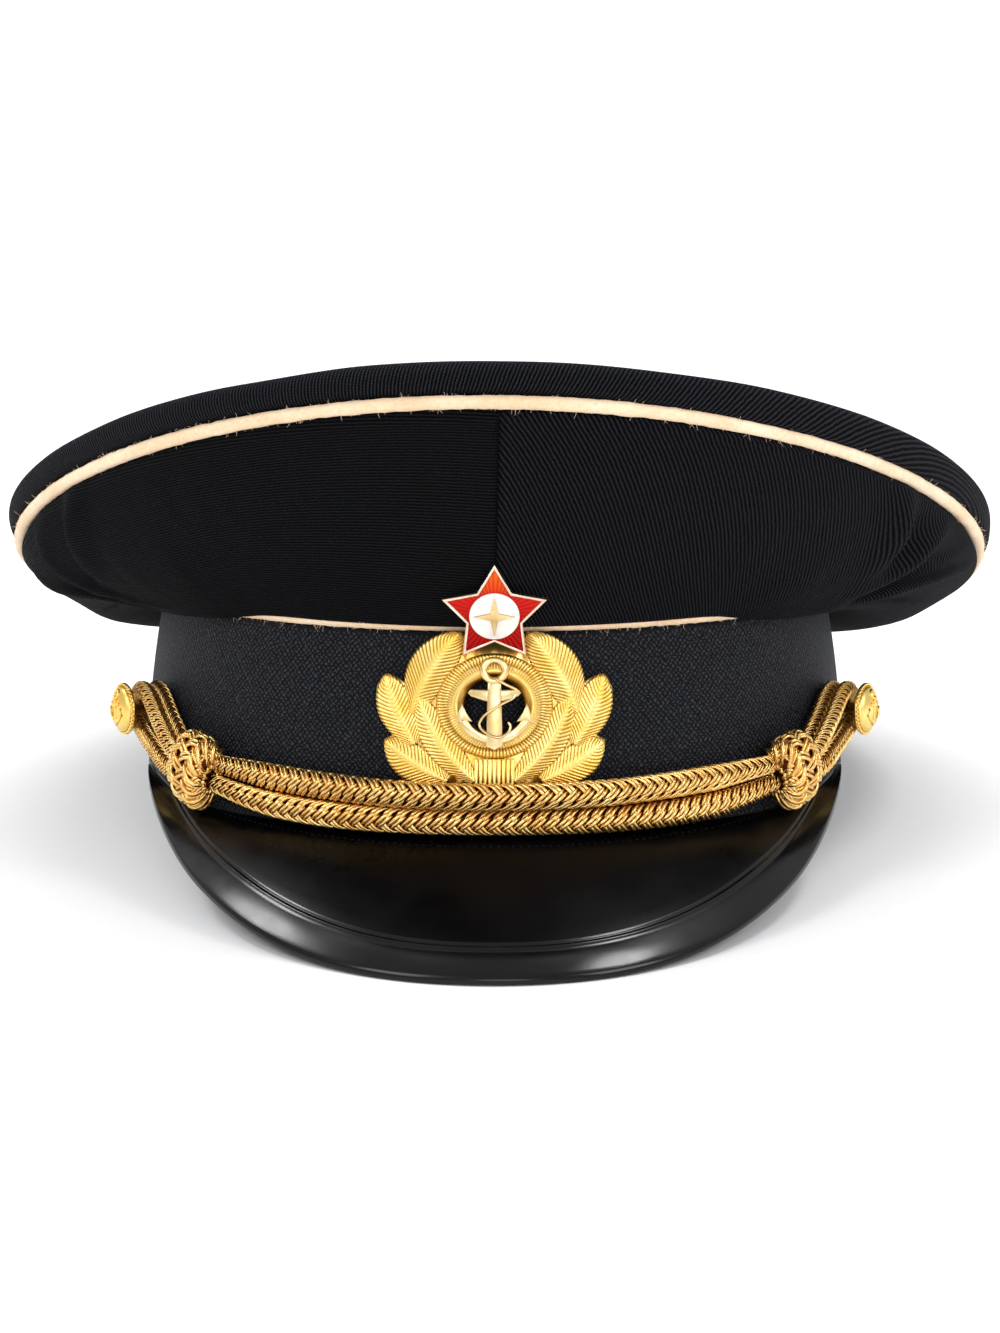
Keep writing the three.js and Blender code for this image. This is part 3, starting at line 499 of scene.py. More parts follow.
sideCloth = {"columns": 300, "rows": 44, "map": (400.0, 62.0), "proud": 2.2, "lead": 1.5, "inside": 0.8,
             "below": 2.6, "tuck": 0.035, "hem": (0.45, 0.3), "allowance": (2.0, 1.3), "seamDip": 1.1,
             "seamHalf": 0.1, "seamWide": 0.8, "ripple": 0.6, "pucker": 0.25}
bandPiping = {"radius": 1.45, "height": 49.2, "proud": 0.3}


def foldHeight(angle, share):
    total = 0.0
    for fold in folds:
        run = (share - fold["start"]) / (fold["end"] - fold["start"])
        if 0 < run < 1:
            halves = [mix(fold[a], fold[b], share) for a, b in (("low", "middle"), ("middle", "high"))]
            middle = mix(*halves, share)
            height = fold["height"] * hump(math.degrees(angle), middle, fold["width"])
            total += height * math.sin(math.pi * run)
    return total


def sidePlace(angle, share):
    turn = abs(math.degrees(angle)) + sideCloth["lead"] * math.sin(angle)
    column = lambda name: readTable(sideDrape, "angle", name, turn)
    foot = onBand(angle, band["height"], sideCloth["proud"])
    foot.z = bandPiping["height"] - column("drop")
    top = onCrown(angle, 1, -sideCloth["inside"], -sideCloth["below"])
    away = top - foot
    away.z = 0
    away.normalize()

    def towards(slope, length):
        a = math.radians(slope)
        return away * (length * math.cos(a)) + Vector((0, 0, length * math.sin(a)))

    first = foot + towards(column("rise"), column("foot"))
    second = top - towards(column("fall"), column("hang"))
    s, r = share, 1 - share
    place = foot * r ** 3 + first * 3 * s * r * r + second * 3 * s * s * r + top * s ** 3
    slack = smooth(abs(math.degrees(angle)), 15, 60)
    ripple = noise.noise(Vector((angle * 9, share * 2.2, 3))) * sideCloth["ripple"] * slack
    pucker = noise.noise(Vector((angle * 26, share * 3.0, 8))) * sideCloth["pucker"] * (0.4 + slack)
    return place + away * (foldHeight(angle, share) + (ripple + pucker) * math.sin(math.pi * share))


def makeSide(name, start, material, node):
    seamHalf, tuck = sideCloth["seamHalf"], sideCloth["tuck"]
    (hemIn, hemUp), (seamIn, seamUp) = sideCloth["hem"], sideCloth["allowance"]

    def placeAt(across, along):
        angle = math.radians(start + mix(seamHalf, 180 - seamHalf, across))
        place = sidePlace(angle, min(max((along - tuck) / (1 - 2 * tuck), 0), 1))
        inward = -outward(band["head"], angle)
        if along < tuck:  # the lower edge is turned under
            part = 1 - along / tuck
            place = place + inward * hemIn * part + Vector((0, 0, hemUp * part * part))
        if along > 1 - tuck:  # the seam allowance turns in over the hoop
            part = (along - 1 + tuck) / tuck
            place = place + inward * seamIn * part + crownUp * seamUp * part
        fromSeam = min(across, 1 - across) * sideCloth["map"][0]
        return place + inward * sideCloth["seamDip"] * hump(fromSeam, 0, sideCloth["seamWide"])

    bm = gridOf(placeAt, sideCloth["columns"], sideCloth["rows"], sideCloth["map"])
    return crownPiece(name, bm, material, node)


rightSide = makeSide("crownSideClothRight", -180, twillRight, "crown_side_right")
leftSide = makeSide("crownSideClothLeft", 0, twillLeft, "crown_side_left")
print("crown done")


# Pipings: felt cords sewn into the seams, with stray hairs
piping = {"crownRadius": 1.65, "columns": 420, "sides": 10, "nap": 0.16, "hairs": 2000, "hairLength": 1.2,
          "hairThick": 0.05}


def makePiping(name, middleAt, radius, node):
    def placeAt(across, along):
        middle, out, up = middleAt(2 * math.pi * across)
        turn = 2 * math.pi * along
        nap = 1 + piping["nap"] * noise.noise(middle * 0.9 + out * 1.3 * math.sin(turn))
        return middle + (out * math.sin(turn) + up * math.cos(turn)) * radius * nap

    hairs = []
    for _ in range(piping["hairs"]):
        middle, out, up = middleAt(random.uniform(0, 2 * math.pi))
        turn = random.uniform(0, 2 * math.pi)
        away = out * math.sin(turn) + up * math.cos(turn)
        lean = Vector([random.uniform(-1, 1) for _ in range(3)])
        start = middle + away * radius * 0.95
        length = piping["hairLength"] * random.uniform(0.4, 1)
        hairs.append([(start, 1), (start + (away + lean * 0.7) * length * 0.5, 0.7),
                      (start + (away * 0.8 + lean) * length, 0.3)])
    core = closeUp(gridOf(placeAt, piping["columns"], piping["sides"]))
    nap = wiresOf(hairs, piping["hairThick"], 4)
    return showPiece(joinPieces(name, [(core, 0), (nap, 0)], felt), "piping_felt", node)


def crownSeam(angle):
    middle = onCrown(angle, 1, 0, 0)
    return middle, onCrown(angle, 1, 1, 0) - middle, crownUp


def bandSeam(angle):
    middle = onBand(angle, band["height"], bandPiping["proud"])
    middle.z = bandPiping["height"]
    return middle, outward(band["head"], angle), Vector((0, 0, 1))


makePiping("crownPiping", crownSeam, piping["crownRadius"], "crown_piping")
makePiping("bandPiping", bandSeam, bandPiping["radius"], "band_piping")
print("pipings done")

# The visor: a bent plate with a bevelled rim set off by a groove
visor = {"half": (87.65, 125), "middle": -25, "drop": 27.7, "flat": 3.3, "sweep": 86, "rootSweep": 75,
         "rootHeight": 0.6, "rootOff": 0.4, "endFrom": 0.62, "endRise": 4.5, "endOff": 0.5, "wall": 1.8,
         "rimAcross": 10, "rimDrop": 7.4, "rimShare": 0.74, "rimNarrow": 0.74, "step": 0.5, "groove": 0.8,
         "camber": 1.4, "columns": 170, "satinRows": (9.5, 25.5)}


def visorSection(share):
    lifted = smooth(abs(share), visor["endFrom"], 1)  # the ends climb a little way up the band
    climb = visor["endRise"] * lifted
    start = onBand(math.radians(share * visor["rootSweep"]), visor["rootHeight"] + climb,
                   visor["rootOff"] + visor["endOff"] * lifted)
    angle = math.radians(share * visor["sweep"])
    tip = outline(visor["half"], angle) + Vector((0, visor["middle"], 0))
    tip.z = visor["wall"] - visor["drop"] * (1 - abs(math.sin(angle)) ** visor["flat"]) + climb
    along = tip - start
    length = along.length
    along.normalize()
    full = math.hypot(visor["rimAcross"], visor["rimDrop"])
    narrow = mix(visor["rimNarrow"], 1, smooth(abs(share), 0.05, 0.6))  # the rim is narrowest at the middle
    width = min(full * narrow, length * visor["rimShare"])
    lift = Vector((0, 0, 1))
    crease = tip - along * width + lift * visor["camber"] * width / full
    fade = min(length / 20, 1)
    field = [start.lerp(crease - along * 1.3 * fade, k / 9)
             + lift * visor["camber"] * 0.6 * math.sin(math.pi * k / 9) for k in range(10)]
    groove, step = visor["groove"] * fade, visor["step"] * fade
    rim = [crease - along * groove * 0.6 - lift * 0.12, crease - lift * step, crease + along * groove * 0.4,
           crease + along * groove + lift * step * 0.7]
    strip = [tip.lerp(crease, part) + lift * step * 0.7 * math.sin(math.pi * min(part, 0.9))
             for part in (0.9, 0.75, 0.6, 0.45, 0.3, 0.16, 0.07)]
    tipIn = along * 0.5 * fade
    edge = [tip - tipIn + lift * 0.05, tip - lift * 0.35, tip - lift * (visor["wall"] - 0.4),
            tip - tipIn - lift * visor["wall"]]
    under = [start.lerp(tip, part)
             - lift * (visor["wall"] - visor["camber"] * math.sin(math.pi * part) * 0.8)
             for part in (0.92, 0.8, 0.6, 0.4, 0.2, 0)]
    return field + rim + strip + edge + under


visorRows = len(visorSection(0))


def visorPlace(across, along):
    return visorSection(2 * across - 1)[round(along * visorRows) % visorRows]


bm = gridOf(visorPlace, visor["columns"], visorRows, (1, visorRows))
uv = bm.loops.layers.uv.verify()
for face in bm.faces:  # the rows from the groove round the edge are satin
    row = max(loop[uv].uv.y for loop in face.loops)
    face.material_index = int(visor["satinRows"][0] < row < visor["satinRows"][1])
bm = closeUp(closeEnds(bm))
showPiece(newPiece("visorPlate", bm, lacquer, satinRim), "visor_lacquer", "visor")

# the sewing that holds the visor shows as a faint row of stitches under the cord
stitch = {"count": 84, "share": 0.62, "depth": 0.16, "length": 0.42, "radius": 0.16}
stitches = []
for k in range(stitch["count"]):
    share = mix(-stitch["share"], stitch["share"], (k + 0.5) / stitch["count"])
    line = []
    for part in (-0.5, -0.2, 0.2, 0.5):
        spot = visorSection(share + part * stitch["length"] * 2 * stitch["share"] / stitch["count"])
        place = spot[1].lerp(spot[2], 0.3) + Vector((0, 0, 0.1 if abs(part) < 0.3 else -0.12))
        line.append((place, 1))
    stitches.append(line)
visorThread = newPiece("visorStitches", wiresOf(stitches, stitch["radius"], 6), thread)
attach(visorThread, "root")
print("visor done")

# The chin cord: one closed loop of plaited gold wire, across the front twice and round both buttons
cordRoute = asRows(
    "angle height off wide deep",
    (0, 10.0, 6.2, 5.8, 5.0), (7, 10.1, 6.1, 5.8, 5.0), (15, 10.3, 5.4, 5.8, 5.0),
    (24, 10.7, 3.8, 5.8, 5.0), (34, 11.4, 3.1, 5.8, 5.0), (40, 12.2, 3.6, 5.0, 4.4),
    (45, 12.8, 4.2, 4.2, 3.6), (52.5, 14.4, 4.2, 4.2, 3.6), (59, 20.0, 3.1, 4.2, 3.6),
    (65, 24.9, 2.3, 4.2, 3.6), (68.5, 26.0, 2.3, 4.2, 3.6), (71, 24.2, 2.3, 4.2, 3.6),
    (71.6, 21.4, 2.3, 4.2, 3.6), (70.4, 18.4, 2.3, 4.2, 3.6), (67.4, 16.4, 2.3, 4.2, 3.6),
    (61, 13.6, 3.1, 4.2, 3.6), (54, 9.8, 4.2, 4.2, 3.6), (46, 8.0, 4.2, 4.2, 3.6),
    (40, 6.2, 3.7, 5.0, 4.4), (34, 4.8, 3.1, 5.8, 5.0), (24, 3.9, 3.1, 5.8, 5.0),
    (12, 3.7, 3.1, 5.8, 5.0), (0, 3.7, 3.1, 5.8, 5.0))
# Each plait is a pair of wires that runs from one angle of the cord's section to another while it moves on
# along the cord. The last row, against the band, is of single wires.
plaitRows = asRows(
    "begin end advance shift rise bow gap",
    (-106, -4, 1.4, 0.0, 0.07, -0.4, 0.49), (34, -30, 1.05, 0.45, 0.11, 0.0, 0.49),
    (104, 12, 1.4, 0.75, 0.06, 0.3, 0.49), (-168, -88, -1.3, 0.2, 0.07, 0.0, 0.45),
    (168, 88, -1.3, 0.5, 0.07, 0.0, 0.45), (214, 146, 1.0, 0.1, 0.0, 0.0, 0.0))
plait = {"pitch": 3.25, "wire": 0.48, "thin": 2.3, "lift": 0.95, "sink": 0.22, "full": 5.8, "steps": 5,
         "perDegree": 0.047, "core": 0.74, "coreStep": 1.5, "coreSides": 10}
endLoop = {"from": 44.2, "off": 3.85}


# The cord's path, with its width and depth, and a count of plaits along it.
class Route:
    def __init__(self, rows, closed, extra=0.0):
        places = [onBand(math.radians(row["angle"]), row["height"], row["off"] + extra) for row in rows]
        count = len(places)
        spans = count if closed else count - 1
        self.closed, self.samples = closed, []
        near = lambda i: places[i % count] if closed else places[min(max(i, 0), count - 1)]
        tangent = lambda i: (near(i + 1) - near(i - 1)).normalized()
        steps = 24
        for i in range(spans):
            a, b = near(i), near(i + 1)
            reach = (b - a).length / 3
            points = interpolate_bezier(a, a + tangent(i) * reach, b - tangent(i + 1) * reach, b, steps + 1)
            for k, point in enumerate(points[:-1]):
                row, following = rows[i], rows[(i + 1) % count]
                wide, deep = [mix(row[key], following[key], k / steps) for key in ("wide", "deep")]
                self.samples.append([point, wide, deep])
        if not closed:
            self.samples.append([near(count - 1), rows[-1]["wide"], rows[-1]["deep"]])
        self.turns, self.length = [0.0], 0.0
        path = self.samples + (self.samples[:1] if closed else [])
        for (a, wide, _), (b, _, _) in zip(path, path[1:]):
            self.length += (b - a).length
            self.turns.append(self.turns[-1] + (b - a).length / (plait["pitch"] * wide / plait["full"]))
        self.count = round(self.turns[-1]) if closed else int(self.turns[-1])
        if closed:  # the plaits meet evenly where the loop closes
            self.turns = [turn * self.count / self.turns[-1] for turn in self.turns]

    def at(self, turn):
        turn = turn % self.turns[-1] if self.closed else min(max(turn, 0), self.turns[-1] - 1e-4)
        low, high = 0, len(self.turns) - 1
        while high - low > 1:
            middle = (low + high) // 2
            low, high = (middle, high) if self.turns[middle] <= turn else (low, middle)
        part = (turn - self.turns[low]) / (self.turns[high] - self.turns[low])
        a, b = self.samples[low], self.samples[high % len(self.samples)]
        forward = (b[0] - a[0]).normalized()
        middle = a[0].lerp(b[0], part)
        foot = band["foot"]
        flat = outward(foot, math.atan2(middle.x / foot[0], -middle.y / foot[1]))
        out = (flat - forward * flat.dot(forward)).normalized()
        return middle, out, forward.cross(out), mix(a[1], b[1], part), mix(a[2], b[2], part)

    def spot(self, turn, degrees, lift):
        middle, out, up, wide, deep = self.at(turn)
        a = math.radians(degrees)
        return middle + (out * math.cos(a) * deep / 2 + up * math.sin(a) * wide / 2) * lift


def plaitLine(route, k, row, side, closed):
    pitch, perDegree = plait["pitch"], plait["perDegree"]
    run = Vector((row["advance"] * pitch, (row["end"] - row["begin"]) * perDegree))
    normal = Vector((-run.y, run.x)).normalized()
    line = []
    for step in range(plait["steps"] + 1):
        part = step / plait["steps"]
        spot = run * (part - 0.5) + normal * (side * row["gap"] + row["bow"] * math.sin(math.pi * part))
        turn = k + row["shift"] + spot.x / pitch
        if not closed:
            turn = min(max(turn, 0.02), route.turns[-1] - 0.02)
        degrees = (row["begin"] + row["end"]) / 2 + spot.y / perDegree
        lift = plait["lift"] + row["rise"] - plait["sink"] * abs(2 * part - 1) ** 2.5
        line.append((route.spot(turn, degrees, lift), (route.at(turn)[3] / plait["full"]) ** plait["thin"]))
    return line


def makePlait(name, rows, closed, node, extra=0.0):
    route = Route(rows, closed, extra)
    lines = [plaitLine(route, k, row, side, closed) for row in plaitRows for k in range(route.count)
             for side in ((-1, 1) if row["gap"] else (0,))]
    last = route.turns[-1] * (1 if closed else 0.9999)
    core = gridOf(lambda across, along: route.spot(across * last, 360 * along, plait["core"]),
                  int(route.length / plait["coreStep"]), plait["coreSides"])
    bodies = [(wiresOf(lines, plait["wire"], 6), 0), (closeUp(closeEnds(core)), 1)]
    print(name, "is", round(route.length, 1), "mm long with", route.count, "plaits a row")
    return showPiece(joinPieces(name, bodies, goldWire, shadedGoldCore), "gold_cord", node)


mirrored = [{**row, "angle": -row["angle"]} for row in reversed(cordRoute)]
makePlait("chinCord", cordRoute[:-1] + mirrored[:-1], True, "chin_cord")
endRows = [row for row in cordRoute if row["angle"] > endLoop["from"]]
for name, side in (("right", -1), ("left", 1)):
    rows = [{**row, "angle": side * row["angle"]} for row in endRows]
    makePlait("endLoop" + name.capitalize(), rows, False, "end_loop_" + name, endLoop["off"])
print("cords done")

# Knots: a ball woven of paired wires like a turk's head, with a twisted turn where the cord goes in
knot = {"angle": 49.2, "height": 10.9, "standOff": 6.0, "length": 14.2, "tall": 18.4, "deep": 11.4,
        "radius": 7.2, "tilt": math.radians(16), "leads": 7, "bights": 12, "wire": 0.52, "pair": 0.6,
        "weave": 0.55, "steps": 1000}
twist = {"count": 14, "place": -0.7, "reach": 0.25, "wire": 0.54, "pair": 0.56, "rise": 0.9}


def makeKnot(name, side, node):
    angle = math.radians(side * knot["angle"])
    middle = onBand(angle, knot["height"], knot["standOff"])
    out = outward(band["foot"], angle)
    lift = Vector((0, 0, 1))
    along = lift.cross(out) * side
    axis = along * math.cos(knot["tilt"]) + lift * math.sin(knot["tilt"])
    up = lift * math.cos(knot["tilt"]) - along * math.sin(knot["tilt"])

    def onKnot(turn, place, rise):
        girth = max(1 - (abs(place) * 0.95) ** 2.5, 0.04) ** 0.45
        tall, deep = knot["tall"] / 2 * girth + rise, knot["deep"] / 2 * girth + rise
        return (middle + axis * place * knot["length"] / 2 + up * math.sin(turn) * tall
                + out * math.cos(turn) * deep)

    lattice = []
    for pair in (-1, 1):
        line = []
        for k in range(knot["steps"]):
            turn = 2 * math.pi * knot["leads"] * k / knot["steps"]
            phase = turn * knot["bights"] / knot["leads"]
            over = math.cos(knot["leads"] * phase) * math.tanh(3 * math.sin(phase))
            reach = 1 - 0.045 * (1 + pair)
            aside = pair * knot["pair"] / knot["radius"] * math.sin(phase)
            line.append((onKnot(turn + aside, math.cos(phase) * reach, over * knot["weave"] - 0.5), 1))
        lattice.append(line)
    strokes = []
    for k in range(twist["count"]):
        for pair in (-1, 1):
            line = []
            for step in range(6):
                part = step / 5 - 0.5
                turn = (2 * math.pi * (k + 1.2 * part) / twist["count"]
                        + pair * twist["pair"] / knot["radius"] * 0.6)
                place = twist["place"] + part * 2 * twist["reach"] + pair * twist["pair"] / knot["length"]
                rise = twist["rise"] - 3.4 * part * part
                line.append((onKnot(turn, place, rise), 1))
            strokes.append(line)

    def corePlace(across, share):  # the core closes down to a point at both ends
        place = 2 * share - 1
        return onKnot(2 * math.pi * across, place * 0.9, -1.05 - 2.8 * abs(place) ** 6)

    core = gridOf(corePlace, 40, 16)
    bodies = [(wiresOf(lattice, knot["wire"], 6, closed=True), 0), (wiresOf(strokes, twist["wire"], 6), 0),
              (closeUp(closeEnds(core)), 1)]
    return showPiece(joinPieces(name, bodies, goldWire, shadedGoldCore), "gold_cord", node)


makeKnot("knotRight", -1, "knot_right")
makeKnot("knotLeft", 1, "knot_left")
print("knots done")

# The badge's own frame: x across, y up, z out, curved round the front of the band
badge = {"middle": 30.6, "reach": (-16, 12), "standOff": 1.1, "bend": 92.0, "plate": 0.9, "relief": 0.9}
badgeLow, badgeHigh = [onBand(0, badge["middle"] + up, badge["standOff"]) for up in badge["reach"]]
badgeUp = (badgeHigh - badgeLow).normalized()
badgeOut = Vector((0, -badgeUp.z, badgeUp.y))
badgeMiddle = onBand(0, badge["middle"], badge["standOff"])


def onBadge(place, up=0.0, off=0.0, lean=0.0, bend=badge["bend"]):
    rise = badgeUp * math.cos(lean) + badgeOut * math.sin(lean)
    out = badgeOut * math.cos(lean) - badgeUp * math.sin(lean)
    origin = badgeMiddle + badgeUp * up + badgeOut * off
    turn = place[0] / bend
    spot = origin + rise * place[1] + out * ((bend + place[2]) * math.cos(turn) - bend)
    spot.x = (bend + place[2]) * math.sin(turn)
    return spot


def setOnBadge(bm, **how):
    for vert in bm.verts:
        vert.co = onBadge(vert.co, **how)
    return closeUp(bm)


def pullFaces(bm, faces):
    pulled = bmesh.ops.extrude_face_region(bm, geom=faces)["geom"]
    return [part for part in pulled if isinstance(part, bmesh.types.BMVert)]


# A flat shape made into a plate with rounded upper edges
def plateOf(points, low, high, bevel):
    bm = bmesh.new()
    uv = bm.loops.layers.uv.verify()
    face = bm.faces.new([bm.verts.new((x, y, low)) for x, y in points])
    bmesh.ops.translate(bm, vec=(0, 0, high - low), verts=pullFaces(bm, [face]))
    bmesh.ops.recalc_face_normals(bm, faces=bm.faces)
    rims = [e for e in bm.edges if all(abs(v.co.z - high) < 1e-6 for v in e.verts)]
    bmesh.ops.bevel(bm, geom=rims, offset=bevel, offset_type="OFFSET", affect="EDGES", segments=2,
                    profile=0.5, material=-1, clamp_overlap=True)
    for face in bm.faces:
        for loop in face.loops:
            loop[uv].uv = loop.vert.co.xy
    return bm


def mirrorAcross(half):
    return half + [(-x, y) for x, y in reversed(half) if x]


# A round bar bent into a ring, lying flat
def ringBar(radius, wire, up):
    bm = bmesh.new()
    bmesh.ops.create_circle(bm, segments=12, radius=wire)
    bmesh.ops.rotate(bm, matrix=Matrix.Rotation(math.pi / 2, 3, "X"), verts=bm.verts)
    bmesh.ops.translate(bm, vec=(radius, 0, 0), verts=bm.verts)
    bmesh.ops.spin(bm, geom=bm.verts[:] + bm.edges[:], cent=(0, 0, 0), axis=(0, 0, 1), angle=2 * math.pi,
                   steps=40, use_merge=True)
    bmesh.ops.translate(bm, vec=(0, up, 0), verts=bm.verts)
    return bm


# An anchor's flat pieces, from its foot at the bottom to its eye
anchor = {"base": 3.0, "thick": 1.1, "rope": 0.34}


def anchorBodies(base):
    arc = lambda reach, low, top: [(reach * math.sin(math.radians(a)), -reach * math.cos(math.radians(a)))
                                   for a in range(low, top + 1, 6)]
    high = base + anchor["thick"]
    shank = mirrorAcross([(0, 5.6), (1.5, 5.6), (1.6, 3.6), (1.9, -9.4), (0, -10.5)])
    stock = mirrorAcross([(0, 3.7), (5.4, 3.9), (6.0, 3.1), (5.2, 2.2), (2.0, 1.1), (0, 1.1)])
    crescent = arc(8.9, -66, 66) + list(reversed(arc(6.9, -66, 66)))
    fluke = [(7.3, 0.9), (6.4, -1.4), (4.9, -3.7), (6.9, -3.3), (8.9, -4.2)]
    bodies = [plateOf(shank, base, high + 0.3, 0.4), plateOf(stock, base, high + 0.1, 0.28),
              plateOf(crescent, base, high, 0.3), plateOf(fluke, base, high + 0.1, 0.28),
              plateOf([(-x, y) for x, y in fluke], base, high + 0.1, 0.28)]
    eye = ringBar(2.45, 0.85, 8.3)
    bmesh.ops.translate(eye, vec=(0, 0, base + anchor["thick"] / 2), verts=eye.verts)
    return bodies + [eye]


# Buttons: domed brass with a roped rim and a low anchor
button = {"angle": 68.5, "turnIn": 9, "height": 21.4, "radius": 6.5, "dome": 2.3, "rim": 1.0, "shank": 1.2,
          "standOff": 9.7, "seat": 0.5, "lip": 0.75, "ropes": 36, "rope": 0.42, "anchorScale": 0.42,
          "anchorFlat": 0.42}


def domeHeight(reach):
    share = min(reach / (button["radius"] - button["lip"]), 1)
    return button["rim"] + 0.1 + button["dome"] * (1 - share * share) ** 0.5


def makeButton(name, side, node):
    angle = math.radians(side * button["angle"])
    out = outward(band["foot"], math.radians(side * (button["angle"] - button["turnIn"])))
    middle = onBand(angle, button["height"], button["standOff"])
    across = Vector((0, 0, 1)).cross(out)
    turnIn = Matrix.Translation(middle) @ Matrix((across, Vector((0, 0, 1)), out)).transposed().to_4x4()
    radius, rim, shank = button["radius"], button["rim"], button["shank"]
    deep = button["seat"] - button["standOff"]
    profile = [(0, deep), (shank, deep), (shank, -0.1), (radius - 0.9, 0), (radius - 0.3, 0.15),
               (radius, 0.5), (radius - 0.1, rim - 0.1), (radius - 0.5, rim + 0.1), (radius - 1.0, rim)]
    reaches = [(radius - button["lip"]) * math.cos(math.pi / 2 * k / 9) for k in range(10)]
    profile += [(reach if k < 9 else 0, domeHeight(reach)) for k, reach in enumerate(reaches)]
    bm = bmesh.new()
    verts = [bm.verts.new((x, 0, z)) for x, z in profile]
    edges = [bm.edges.new(pair) for pair in zip(verts, verts[1:])]
    bmesh.ops.spin(bm, geom=verts + edges, cent=(0, 0, 0), axis=(0, 0, 1), angle=2 * math.pi, steps=56,
                   use_merge=True)
    bmesh.ops.remove_doubles(bm, verts=bm.verts, dist=1e-4)
    for k in range(button["ropes"]):  # short slanting ribs make the roped rim
        turn = Matrix.Rotation(2 * math.pi * k / button["ropes"], 4, "Z")
        slant = Matrix.Translation((radius - 0.35, 0, rim)) @ Matrix.Rotation(0.6, 4, "X")
        bmesh.ops.create_icosphere(bm, subdivisions=1, radius=button["rope"],
                                   matrix=turn @ slant @ Matrix.Diagonal((0.9, 1.25, 1.25, 1)))
    bodies = [bm]
    for relief in anchorBodies(0.0):  # laid on the dome
        for vert in relief.verts:
            x, y = vert.co.x * button["anchorScale"], (vert.co.y + 0.6) * button["anchorScale"]
            vert.co = Vector((x, y, domeHeight(math.hypot(x, y)) - 0.1 + vert.co.z * button["anchorFlat"]))
        bodies.append(relief)
    for body in bodies:
        bmesh.ops.transform(body, matrix=turnIn, verts=body.verts)
        closeUp(body)
    return showPiece(joinPieces(name, [(body, 0) for body in bodies], gilt), "gilt_brass", node)


makeButton("buttonRight", -1, "button_right")
makeButton("buttonLeft", 1, "button_left")
print("buttons done")

# The wreath: a pierced plate with leaves, tied stems and a ribbed ring stamped in one
ring = {"outer": (13.6, 12.4), "inner": (7.0, 6.4), "ribs": 100, "ribDepth": 0.26, "columns": 600}
wreathHalf = [(0, 15.6), (7.7, 15.9), (10.2, 16.9), (12.6, 16.1), (15.3, 14.1), (18, 11.3), (19.8, 8.4),
              (20.9, 5.2), (22.2, 6.4), (24.4, 7.4), (26.6, 6.8), (27.8, 4.6), (28, 2.2), (27.2, -1),
              (25.8, -4), (24, -6.9), (25.8, -7.6), (26, -9.4), (24.4, -12.2), (21.6, -15.2),
              (17.6, -18.6), (10, -20.4), (0, -20.8)]
leaves = asRows(
    "foot tip bow wide low",
    ((11.0, -17.6), (25.9, -7.8), 0.9, 8.8, 0.0), ((4.6, -17.6), (17.8, 2.6), 1.8, 7.8, 0.3),
    ((18.6, -9.0), (25.7, 7.6), 0.8, 8.8, 0.2), ((19.4, -1.6), (7.6, 17.4), 1.7, 10.4, 0.1))
leafGrid = {"vein": 1.05, "steps": 6, "lean": 0.85, "depth": 0.22, "columns": 12, "back": 0.15}
stems = {"aside": 4, "pitch": 1.05, "wide": 0.84, "foot": -20.6, "head": -12.4, "bow": 0.35}


def makeLeaf(leaf, side):
    start, end = [Vector((side * leaf[key][0], leaf[key][1])) for key in ("foot", "tip")]
    run = end - start
    across = Vector((-run.y, run.x)).normalized()
    crest = badge["plate"] + badge["relief"] + leaf["low"]
    reach = leafGrid["lean"] * leaf["wide"] / 2
    rows = round((run.length + reach) / leafGrid["vein"]) * leafGrid["steps"]

    def grooveAt(part, along):  # the grid's rows follow the veins, from the midrib outwards to the tip
        phase = along * rows / leafGrid["steps"] % 1
        return max(0, 1 - abs(phase - 0.5) * 3) * smooth(abs(2 * part - 1), 0.0, 0.3)

    def placeAt(part, along):
        s = 2 * part - 1
        share = along * (run.length + reach) - reach + abs(s) * reach
        share = min(max(share / run.length, 0), 1)
        half = leaf["wide"] / 2 * math.sin(math.pi * mix(0.06, 1, share) ** 1.15) ** 0.6
        sway = -side * leaf["bow"] * 4 * share * (1 - share)
        spot = start + run * share + across * (sway + s * half)
        body = crest - 0.6 * abs(s) ** 1.8 + 0.2 * (1 - smooth(abs(s), 0, 0.12))
        body -= leafGrid["depth"] * grooveAt(part, along) + 0.3 * smooth(share, 0.85, 1)
        return Vector((spot.x, spot.y, body))

    # grooveAt, given as shadeAt, also paints shade along every vein: painted shade
    bm = gridOf(placeAt, leafGrid["columns"], rows, shadeAt=grooveAt)
    for vert in pullFaces(bm, bm.faces[:]):
        vert.co.z = leafGrid["back"]
    return setOnBadge(bm)


# Each row's share of the way out, height up, ribbing, and tarnish: painted shade on the walls down to the
# plate and on the inner slope
ringRows = asRows(
    "share up ribbed tarnish",
    (0, 0, 0, 1), (0, 1.0, 0, 1), (0.1, 1.5, 0, 0.8), (0.24, 1.9, 0, 0.5), (0.36, 2.0, 0, 0.15),
    (0.44, 1.7, 0.3, 0.5), (0.5, 1.95, 0.8, 0.1), (0.56, 1.6, 0.3, 0.5), (0.62, 1.9, 1, 0),
    (0.75, 2.4, 1, 0), (0.88, 2.4, 1, 0), (0.96, 2.0, 0.6, 0.1), (1, 1.3, 0, 0.6), (1, 0, 0, 1))


def ringRow(along):
    return ringRows[round(along * len(ringRows)) % len(ringRows)]


def ringPlace(across, along):
    turn = 2 * math.pi * across
    row = ringRow(along)
    half = [mix(p, q, row["share"]) for p, q in zip(ring["inner"], ring["outer"])]
    return Vector((half[0] * math.cos(turn), half[1] * math.sin(turn),
                   row["up"] - ring["ribDepth"] * ringGroove(across, row)))


def ringGroove(across, row):
    return row["ribbed"] * max(0, 1 - abs(across * ring["ribs"] % 1 - 0.5) * 3)


